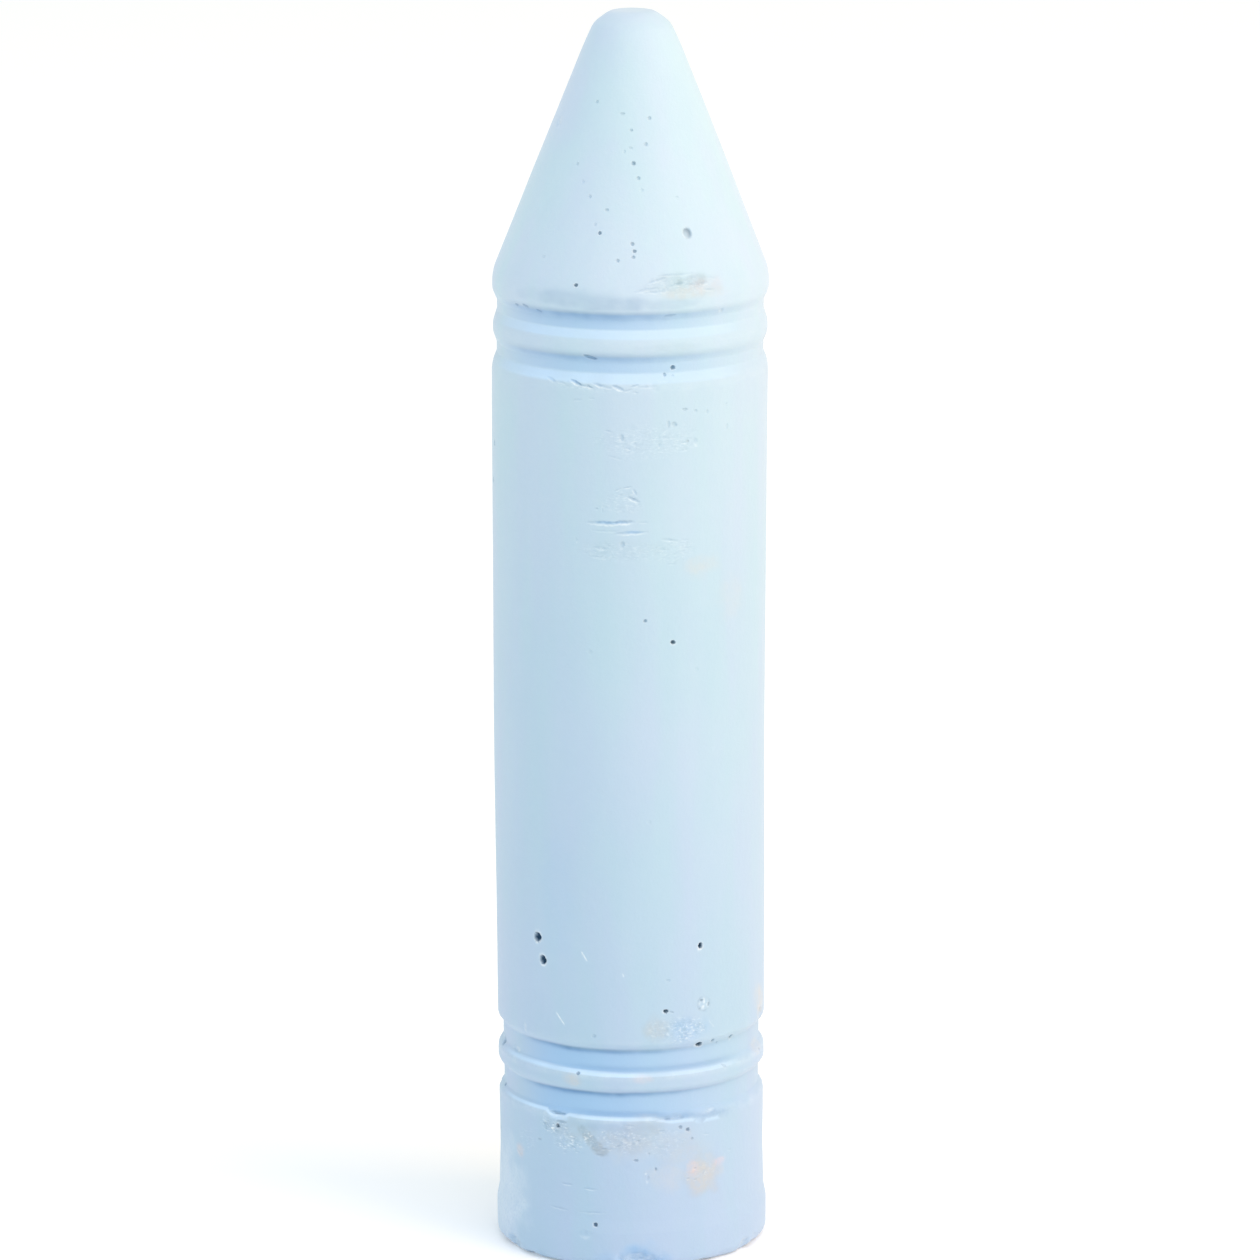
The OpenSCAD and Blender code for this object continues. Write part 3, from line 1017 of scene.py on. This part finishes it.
def crater(skin, wear, turn, height, width, tall, depth):
    """A shallow round hole, deepest under its upper right edge, with painted shadow there and a
    painted highlight on its lower left.
    """
    for i, u, w in skin.near(turn, height, 0.7 * max(width, tall)):
        q = from_middle(u, w, width, tall)
        if q < 1:
            side = smooth(0.5 + 0.45 * (u / width + w / tall))
            skin.shift[i] -= wear.depth * depth * math.sqrt(1 - q**4) * (0.35 + 0.65 * side)
            # Painted shadow towards the upper right, painted highlight away from it
            shadow = smooth(0.62 + 1.5 * (u + 0.8 * w) / (width + tall))
            inside = smooth((1.02 - q) / 0.2)
            skin.lay("hollow_shade", i, (0.34 + 0.14 * smooth(q / 0.6)) * inside * shadow)
            skin.lay("powder_and_highlight", i, 0.35 * (1 - shadow) * smooth((q - 0.4) / 0.3))


def blister(skin, wear, turn, height, width, tall, depth):
    """The ring that is left round a bubble whose skin stayed on."""
    for i, u, w in skin.near(turn, height, 0.85 * max(width, tall)):
        q = from_middle(u, w, width, tall)
        broken = 0.55 + 0.9 * noise.noise(Vector((u * 2.1 + turn, w * 2.1, 4.0)))
        ring = math.exp(-(((q - 1) / 0.16) ** 2)) * max(0.0, broken)
        skin.shift[i] -= wear.depth * depth * (ring - 0.3 * math.exp(-q * q * 2))
        # Painted shade in the ring's groove
        skin.lay("hollow_shade", i, 0.16 * ring)
        skin.lay("powder_and_highlight", i, 0.7 * smooth(1.2 - q) * smooth(0.4 + 2 * grainy(skin.place[i], 0.3)))


def dent(skin, wear, turn, height, width, tall, depth, lean=0.0):
    """A lens-shaped bite with a steep upper wall darkened with painted shade, and a long slope
    below it that is paler, powder with a painted highlight.
    """
    crest = 0.5
    for i, u, w in skin.near(turn, height, 0.55 * width + tall, lean):
        side = 1 - (2 * u / width) ** 2
        if side <= 0:
            continue
        rag = 0.3 * noise.noise(Vector((u * 2.6 + turn, height, 1.0)))
        v = 2 * w / tall / math.sqrt(side) + rag
        if -1.4 < v < 1:
            fall = (v + 1) / (1 + crest) if v < crest else (1 - v) / (1 - crest)
            skin.shift[i] -= wear.depth * depth * smooth(fall) * math.sqrt(side)
            patchy = 0.75 + 0.9 * grainy(skin.place[i], 0.4, 3.6)
            # Painted shade on the steep upper wall
            shade = min(0.8, 5 * depth) * math.sqrt(side) * max(0.0, patchy)
            skin.lay("crease_shade", i, shade * smooth((v + 0.5) / 0.7) * smooth((1 - v) / 0.4))
            # Powder and a painted highlight on the slope below
            pale = smooth((-0.3 - v) / 0.4) * smooth((v + 1.4) / 0.4)
            skin.lay("powder_and_highlight", i, min(0.8, 8 * depth) * pale * side)


def chip(skin, wear, turn, height, width, tall, depth, lean=0.0):
    """A piece broken from an edge, with facets in its floor."""
    for i, u, w in skin.near(turn, height, 0.6 * max(width, tall), lean):
        co = skin.place[i]
        q = from_middle(u, w, width, tall) + 0.3 * grainy(co, 0.7, 2.2)
        if q < 1:
            facets = 1 + 0.35 * grainy(co, 0.5, 6.4)
            skin.shift[i] -= wear.depth * depth * smooth(1.8 * (1 - q)) * facets
            skin.lay("powder_and_highlight", i, 0.35 * smooth(2 * (1 - q)))


def crumble(skin, wear, turn, height, width, tall, depth, broken, lean=0.0):
    """Skin that has broken into fine flat crumbs, thinning out towards its edge."""
    for i, u, w in skin.near(turn, height, 0.5 * max(width, tall), lean):
        co = skin.place[i]
        flat = Vector((co.x, co.y, 1.8 * co.z))
        edge = 1 - from_middle(u, w, width, tall) + 0.3 * grainy(flat, 1.1, 2.9)
        if edge <= 0:
            continue
        mask = smooth(1.8 * edge)
        crumbs = grainy(flat, 0.36, 1.3) + 0.5 * grainy(flat, 0.2, 7.7)
        hole = smooth((crumbs - 0.05) / 0.3)
        skin.shift[i] -= wear.depth * depth * mask * (hole - 0.35 * crumbs)
        skin.lay("rough", i, broken * mask)
        skin.lay("powder_and_highlight", i, 0.45 * broken * mask * smooth((-0.1 - crumbs) / 0.3))
        # Painted shade in the holes between the crumbs
        skin.lay("hollow_shade", i, 0.12 * broken * mask * hole)


def scratch(skin, wear, from_turn, from_z, to_turn, to_z, width, depth):
    """A fine line of newly loosened chalk dust between two spots."""
    start = skin.spot(from_turn, from_z)[0]
    end = skin.spot(to_turn, to_z)[0]
    way = end - start
    for _, i, _ in skin.tree.find_range((start + end) / 2, way.length / 2 + width * MM):
        along = min(1.0, max(0.0, (skin.place[i] - start).dot(way) / way.length_squared))
        off = (skin.place[i] - start - way * along).length / MM
        line = smooth(1.2 * (1 - 2 * off / width)) * smooth(5 * along) * smooth(5 * (1 - along))
        skin.shift[i] -= wear.depth * depth * line
        skin.lay("powder_and_highlight", i, min(1.0, 30 * depth) * line)


def stain(skin, coat, turn, height, width, tall, amount):
    """A soft-edged stain that soaks unevenly into the skin."""
    for i, u, w in skin.near(turn, height, 0.75 * max(width, tall)):
        co = skin.place[i]
        q = from_middle(u, w, width, tall) + 0.36 * grainy(co, 1.3, 5.1)
        blot = smooth(1.4 * (1.12 - q)) * (0.85 + 0.3 * grainy(co, 0.6, 9.4))
        skin.lay(coat, i, amount * blot)


def foot_edge(skin, wear, s):
    """Crumbles the foot's rim and gives its underside the roughness of a poured face."""
    rim = s.foot_round
    for i, co in enumerate(skin.place):
        reach = math.hypot(co.x, co.y)
        if co.z < 2 * rim and reach > s.barrel_d / 2 - 2.2 * rim:
            weight = smooth(1 - co.z / (2 * rim))
            bite = grainy(co, 2.4, 4.4) + 0.6 * grainy(co, 1.0, 6.6) + 0.35 * grainy(co, 0.5, 2.4)
            skin.shift[i] -= weight * max(0.0, bite + 0.12) * wear.foot_wear / MM
        if co.z < SAME_PLACE:
            flat = smooth((s.barrel_d / 2 - 2.5 * rim - reach) / rim)
            skin.shift[i] -= 0.03 * flat * max(0.0, grainy(co, 1.5, 3.3) + 0.3)


def rub_tip(skin, wear, s):
    """Rubs the edge of the flat tip down, so that the end is a little domed."""
    edge = s.tip_d / 2 / MM
    for i, co in enumerate(skin.place):
        if co.z > s.stick_h - s.tip_round:
            off = math.hypot(co.x, co.y) / MM - edge + 0.2
            skin.shift[i] -= wear.tip_wear / MM * math.exp(-((off / 0.9) ** 2))


def bend(z, wear, s):
    """How far the stick's middle stands to the right at a height."""
    part = z / s.stick_h
    lean = smooth((part - LEAN_FROM) / (1 - LEAN_FROM))
    bow = math.exp(-(((part - BOW_AT) / BOW_REACH) ** 2))
    return wear.lean * lean - wear.bow * bow


def scatter(s, wear):
    """Small bubbles on the sides and the back, where no one place is known."""
    rng = random.Random(wear.seed)
    found = []
    while len(found) < wear.back_bubbles:
        turn = rng.uniform(75, 285)
        height = rng.uniform(2, s.stick_h / MM - 5)
        width = rng.choice((0.26, 0.3, 0.34, 0.4, 0.5))
        tall = width * rng.uniform(0.8, 1.2)
        depth = width * rng.uniform(0.3, 0.85)
        dark = rng.choice((0.15, 0.25, 0.35, 0.45, 0.6, 0.9))
        found.append((turn, height, width, tall, depth, dark, rng.uniform(-20, 20)))
    return found


def scuff(wear):
    """Dents, broken skin and grime round each place where the back is scuffed."""
    rng = random.Random(wear.seed + 1)
    dents, crumbles, grime = [], [], []
    for turn, height, around, along in SCUFFS:
        for _ in range(4):
            dents.append((
                rng.gauss(turn, 0.6 * around), rng.gauss(height, 0.6 * along),
                rng.uniform(0.5, 1.9), rng.uniform(0.2, 0.4), rng.uniform(0.02, 0.08),
                rng.uniform(-24, 12),
            ))
        width, tall = 0.2 * around, 1.2 * along
        crumbles.append((turn, height, width, tall, 0.03, rng.uniform(0.15, 0.3)))
        grime.append((turn + 2, height, 1.4 * width, 1.2 * tall, rng.uniform(0.1, 0.3)))
    return dents, crumbles, grime


def gather_marks(s, wear):
    """The marks whose places are known and those that are strewn over the rest."""
    dents, crumbles, grime = scuff(wear)
    return {
        "bubbles": NOSE_BUBBLES + BODY_BUBBLES + scatter(s, wear),
        "dents": DENTS + dents,
        "crumbles": CRUMBLES + crumbles,
        "grime": GRIME_STAINS + grime,
    }


def groove_heights(s):
    """Heights in millimetres of each groove's middle, lower lip and upper lip, from the lowest
    groove up."""
    foot_cut = (s.foot_floor / 2 / MM, s.foot_lower_wall / MM, s.foot_upper_wall / MM)
    neck_cut = (s.neck_floor / 2 / MM, s.neck_lower_wall / MM, s.neck_upper_wall / MM)
    neck_top = (s.stick_h - s.nose_h - s.neck_drop) / MM
    grooves = (
        (s.foot_rise / MM, *foot_cut),
        ((s.foot_rise + s.foot_pitch) / MM, *foot_cut),
        (neck_top - s.neck_pitch / MM, *neck_cut),
        (neck_top, *neck_cut),
    )
    return [(z, z - half - down, z + half + up) for z, half, down, up in grooves]


def wear_skin(skin, s, wear, marks):
    """Every mark in turn, then the whole shift at once along the unworn skin's own normals,
    with the bend of the whole stick."""
    wander(skin, wear)
    grooves = groove_heights(s)
    for (_, low_lip, high_lip), (low_wear, high_wear) in zip(grooves, LIP_WEAR):
        crumble_lip(skin, wear, low_lip, *low_wear)
        crumble_lip(skin, wear, high_lip, *high_wear)
    foot_left = kept(start=-66, rise=30, at=-25, reach=56)
    neck_left = kept(start=-80, rise=30, at=-17, reach=52)
    lefts = (foot_left, foot_left, neck_left, neck_left)
    steps = (low_step, top_step, no_step, no_step)
    for groove, look, left, step in zip(grooves, GROOVE_LOOKS, lefts, steps):
        dress_groove(skin, groove, look, left, step)
    foot_edge(skin, wear, s)
    rub_tip(skin, wear, s)
    cuts = (
        (crumble, marks["crumbles"]),
        (chip, EDGE_CHIPS + FOOT_BITES),
        (dent, marks["dents"]),
        (crater, CRATERS),
        (blister, BLISTERS),
        (scratch, SCRATCHES),
        (pit, marks["bubbles"]),
    )
    for cut, places in cuts:
        for place in places:
            cut(skin, wear, *place)
    stains = {
        "ochre": OCHRE_STAINS, "rose": ROSE_STAINS, "grime": marks["grime"],
        "crease_shade": PAINTED_SHADE_STAINS, "fresh_and_shade": FRESH_AND_SHADE_STAINS, "clean": CLEAN_STAINS,
        "powder_and_highlight": PAINTED_RIM_LIGHT,
    }
    for coat, places in stains.items():
        for place in places:
            stain(skin, coat, *place)
    for v, co, out, shift in zip(skin.verts, skin.place, skin.out, skin.shift):
        v.co = co + out * (shift * MM) + Vector((bend(co.z, wear, s), 0, 0))


# ---------------------------------------------------------------- materials


class Wire:
    """A node's socket that takes part in sums, so that shader maths reads as Python."""

    def __init__(self, sheet, socket):
        self.sheet = sheet
        self.socket = socket

    def __add__(self, other):
        return self.sheet.maths("ADD", self, other)

    def __sub__(self, other):
        return self.sheet.maths("SUBTRACT", self, other)

    def __rsub__(self, other):
        return self.sheet.maths("SUBTRACT", other, self)

    def __mul__(self, other):
        return self.sheet.maths("MULTIPLY", self, other)

    __radd__ = __add__
    __rmul__ = __mul__


class Sheet:
    """The nodes of one material."""

    def __init__(self, material):
        material.use_nodes = True
        self.tree = material.node_tree
        self.tree.nodes.clear()

    def add(self, kind, settings=None, sockets=None, out=0):
        """A node of any kind, with its settings made first and then its sockets."""
        node = self.tree.nodes.new(kind)
        for name, value in (settings or {}).items():
            setattr(node, name, value)
        for key, value in (sockets or {}).items():
            if isinstance(value, Wire):
                self.tree.links.new(value.socket, node.inputs[key])
            else:
                node.inputs[key].default_value = value
        return Wire(self, node.outputs[out]) if node.outputs else None

    def maths(self, operation, a, b):
        """A Math node."""
        return self.add("ShaderNodeMath", {"operation": operation}, {0: a, 1: b})

    def mix(self, a, b, factor, blend="MIX"):
        """Two colours mixed by a factor. A Mix node's colours are its sockets 6 and 7, and
        its output 2."""
        settings = {"data_type": "RGBA", "blend_type": blend}
        return self.add("ShaderNodeMix", settings, {0: factor, 6: a, 7: b}, 2)

    def band(self, value, low, high, least=0.0, most=1.0):
        """A smooth rise between two values."""
        settings = {"interpolation_type": "SMOOTHSTEP"}
        return self.add(
            "ShaderNodeMapRange", settings, {0: value, 1: low, 2: high, 3: least, 4: most}
        )

    def stretched(self, place, scale, shift=(0, 0, 0)):
        """Coordinates drawn out or closed up along each axis."""
        return self.add(
            "ShaderNodeMapping", {}, {"Vector": place, "Location": shift, "Scale": scale}
        )

    def noise(self, place, scale, detail=2.0, roughness=0.5):
        """A noise texture with so many lumps to a unit of its coordinates."""
        return self.add(
            "ShaderNodeTexNoise", {},
            {"Vector": place, "Scale": scale, "Detail": detail, "Roughness": roughness},
        )

    def coat(self, name):
        """How much of a coat the mesh carries."""
        return self.add("ShaderNodeAttribute", {"attribute_name": name}, {}, "Fac")

    def surface(self, sockets):
        """The shader of the surface, and the output that it feeds."""
        skin = self.add("ShaderNodeBsdfPrincipled", {}, sockets)
        self.add("ShaderNodeOutputMaterial", {}, {"Surface": skin})


def chalk_material(f):
    """Pale blue chalk: streaked pigment, powdery grain and old stains, with painted shade in open
    bubbles and grooves, painted highlights at marks and lower walls, and painted light by height.
    """
    material = bpy.data.materials.new("chalk")
    n = Sheet(material)
    place = n.add("ShaderNodeTexCoord", out="Object")
    mm = n.stretched(place, (1 / MM, 1 / MM, 1 / MM))

    drawn = n.stretched(mm, (1, 1, 0.16), (3, 7, 2))
    streaks = n.noise(drawn, 0.22, 3.0, 0.55)
    clouds = n.noise(mm, 0.07, 3.0, 0.5)
    hue = n.band(streaks * 0.65 + clouds * 0.35, 0.35, 0.65)
    mottle = n.noise(mm, 0.9, 4.0, 0.6)
    speckle = n.noise(mm, 3.6, 3.0, 0.6)
    shade = n.noise(drawn, 0.4, 2.0, 0.5)

    pigment = n.mix(f.sky, f.lilac, hue)
    height = n.add("ShaderNodeSeparateXYZ", {}, {"Vector": place}, "Z") * (1 / STICK_HIGH.z)
    # Painted light by height: darker towards the foot, paler on the nose
    wash = n.mix(f.foot_shade_wash, f.neck_light_wash, height * 1.4 + 0.3 * (clouds - 0.5))
    wash = n.mix(wash, f.nose_light_wash, n.band(height, 0.72, 0.82))
    pigment = n.mix(pigment, wash, 1.0, "MULTIPLY")
    # Unpaled pigment with painted shade, then clean chalk with a painted highlight
    pigment = n.mix(pigment, f.fresh_and_shade, n.coat("fresh_and_shade"))
    pigment = n.mix(pigment, f.clean, n.coat("clean"))
    light = n.band(shade * 0.5 + mottle * 0.35 + speckle * 0.15, 0.3, 0.7)
    pigment = n.mix(pigment, (0.94, 0.96, 0.98, 1), (1 - light) * 0.55, "MULTIPLY")
    # Loose powder, and painted highlights on rims, dents, the crater and the foot's left side
    powder_and_highlight = n.coat("powder_and_highlight")
    pigment = n.mix(pigment, f.powder_and_highlight, powder_and_highlight * n.band(speckle, 0.3, 0.6, 0.5, 1.0) * 0.8)
    # Painted shade in the creases, the dents and under the shoulder
    pigment = n.mix(pigment, f.crease_shade_wash, n.coat("crease_shade"), "MULTIPLY")
    blotchy = n.band(mottle * 0.75 + speckle * 0.25, 0.34, 0.6, 0.5, 1.0)
    pigment = n.mix(pigment, f.grime, n.coat("grime") * blotchy, "MULTIPLY")
    pigment = n.mix(pigment, f.ochre, n.coat("ochre") * blotchy)
    pigment = n.mix(pigment, f.rose, n.coat("rose") * blotchy)
    crumbs = n.noise(n.stretched(mm, (1, 1, 2.2)), 3.0, 3.0, 0.6)
    rough = n.coat("rough")
    pigment = n.mix(pigment, f.grit, rough * n.band(crumbs, 0.53, 0.66))
    pigment = n.mix(pigment, f.powder_and_highlight, rough * n.band(crumbs, 0.46, 0.36))
    # Painted shade in open bubbles, the crater, the blister's ring and between crumbs
    pigment = n.mix(pigment, f.hollow_shade, n.coat("hollow_shade"))

    grain = n.noise(mm, 5.5, 4.0, 0.65)
    relief = grain + 1.6 * n.noise(mm, 1.7, 3.0, 0.55) - rough * crumbs * 5.0
    bump = n.add("ShaderNodeBump", {}, {"Strength": 1.0, "Distance": f.grain, "Height": relief})
    n.surface({
        "Base Color": pigment,
        "Roughness": n.band(mottle, 0.3, 0.7, 0.78, 0.9),
        "Normal": bump,
        "IOR": 1.45,
        "Specular IOR Level": 0.35,
        "Sheen Weight": 0.35,
        "Sheen Roughness": 0.5,
        "Sheen Tint": (1, 1, 1, 1),
    })
    return material


def floor_material(studio):
    """Plain pale floor that gives a little light of itself, so that it stays even."""
    material = bpy.data.materials.new("floor")
    Sheet(material).surface({
        "Base Color": studio.floor_colour,
        "Roughness": 0.9,
        "Emission Color": (1, 1, 1, 1),
        "Emission Strength": studio.floor_glow,
    })
    return material


# ---------------------------------------------------------------- operators


def make_object(name, bm, material):
    """An object at the origin from a bmesh, which is used up."""
    mesh = bpy.data.meshes.new(name)
    bm.to_mesh(mesh)
    bm.free()
    mesh.materials.append(material)
    piece = bpy.data.objects.new(name, mesh)
    bpy.context.scene.collection.objects.link(piece)
    return piece


class CHALK_OT_stick(Operator):
    """Makes the chalk stick and puts it in the place of its CAD node"""

    bl_idname = "chalk.stick"
    bl_label = "Chalk Stick"

    def execute(self, context):
        scene = context.scene
        s, wear = scene.chalk_shape, scene.chalk_wear
        bm = bmesh.new()
        draw_outline(bm, s)
        skin = Skin(*side_profile(bm))
        turn_outline(bm)
        marks = gather_marks(s, wear)
        refine(bm, focus_spots(skin, marks))
        true_round(bm)
        skin.settle(bm)
        wear_skin(skin, s, wear, marks)
        for face in bm.faces:
            face.smooth = True
        for name, amounts in skin.coats.items():
            layer = bm.verts.layers.float.new(name)
            for v, amount in zip(bm.verts, amounts):
                v[layer] = amount
        triangles = sum(len(f.verts) - 2 for f in bm.faces)
        if triangles > MOST_TRIANGLES:
            raise RuntimeError(f"{triangles} triangles are too many: lower STEPS")
        piece = make_object("chalk", bm, chalk_material(scene.chalk_finish))
        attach(piece, "root")
        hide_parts("chalk_stick")
        return {"FINISHED"}


class CHALK_OT_studio(Operator):
    """Makes the floor, the lights and the camera"""

    bl_idname = "chalk.studio"
    bl_label = "Studio"

    def execute(self, context):
        scene = context.scene
        studio = scene.chalk_studio
        bm = bmesh.new()
        bmesh.ops.create_circle(bm, cap_ends=True, radius=studio.floor_d / 2, segments=96)
        floor = make_object("floor", bm, floor_material(studio))

        key, top, fill = studio.key_light, studio.top_light, studio.fill_light
        self.lamp("key", key, studio.key_colour, size=0.9, turn=60, rise=30, distance=1.3)
        self.lamp("top", top, studio.top_colour, size=0.8, turn=25, rise=58, distance=1.3)
        self.lamp("fill", fill, studio.fill_colour, size=0.5, turn=-104, rise=4, distance=0.8)

        world = bpy.data.worlds.new("studio")
        world.use_nodes = True
        air = world.node_tree.nodes["Background"]
        air.inputs["Color"].default_value = studio.sky_colour
        air.inputs["Strength"].default_value = studio.sky_light
        scene.world = world

        eye = bpy.data.cameras.new("camera")
        eye.lens = studio.camera_lens
        eye.sensor_width = SENSOR_WIDTH
        eye.clip_start, eye.clip_end = CLIP_START, CLIP_END
        camera = bpy.data.objects.new("camera", eye)
        camera.location = (0, -studio.camera_back, studio.camera_up)
        tilt = Matrix.Rotation(math.pi / 2 - studio.camera_tilt, 4, "X")
        roll = Matrix.Rotation(studio.camera_roll, 4, "Z")
        camera.rotation_euler = (tilt @ roll).to_euler()
        scene.collection.objects.link(camera)
        scene.camera = camera
        scene.view_settings.view_transform = "Standard"
        return {"FINISHED"}

    def lamp(self, name, power, colour, size, turn, rise, distance):
        """A square soft lamp that faces the stick's middle, from a turn round it and a rise
        over it in degrees, with its size and distance in metres."""
        data = bpy.data.lights.new(name, "AREA")
        data.shape = "SQUARE"
        data.size = size
        data.energy = power
        data.color = colour[:3]
        lamp = bpy.data.objects.new(name, data)
        a, e = math.radians(turn), math.radians(rise)
        away = Vector((math.sin(a) * math.cos(e), -math.cos(a) * math.cos(e), math.sin(e)))
        lamp.location = Vector((0, 0, STICK_HIGH.z / 2)) + away * distance
        lamp.rotation_euler = (-away).to_track_quat("-Z", "Y").to_euler()
        bpy.context.scene.collection.objects.link(lamp)


class CHALK_PT_panel(Panel):
    """Lists the operators and their settings in the sidebar"""

    bl_idname = "CHALK_PT_panel"
    bl_label = "Chalk Stick"
    bl_space_type = "VIEW_3D"
    bl_region_type = "UI"
    bl_category = "Chalk"

    def draw(self, context):
        groups = (
            (CHALK_OT_stick, ("chalk_shape", "chalk_wear", "chalk_finish")),
            (CHALK_OT_studio, ("chalk_studio",)),
        )
        for operator, names in groups:
            box = self.layout.box()
            box.operator(operator.bl_idname)
            for name in names:
                settings = getattr(context.scene, name)
                for field in settings.__annotations__:
                    box.prop(settings, field)


GROUPS = {
    "chalk_shape": ChalkShape,
    "chalk_wear": ChalkWear,
    "chalk_finish": ChalkFinish,
    "chalk_studio": StudioSet,
}
CLASSES = (*GROUPS.values(), CHALK_OT_stick, CHALK_OT_studio, CHALK_PT_panel)


def register():
    """Adds the classes, and each group of settings to the scene."""
    for kind in CLASSES:
        bpy.utils.register_class(kind)
    for name, group in GROUPS.items():
        setattr(bpy.types.Scene, name, PointerProperty(type=group))


def unregister():
    """Takes away what register adds."""
    for name in GROUPS:
        delattr(bpy.types.Scene, name)
    for kind in reversed(CLASSES):
        bpy.utils.unregister_class(kind)


def main():
    """Makes the stick and the studio."""
    register()
    bpy.ops.chalk.stick()
    bpy.ops.chalk.studio()


if __name__ == "__main__":
    main()
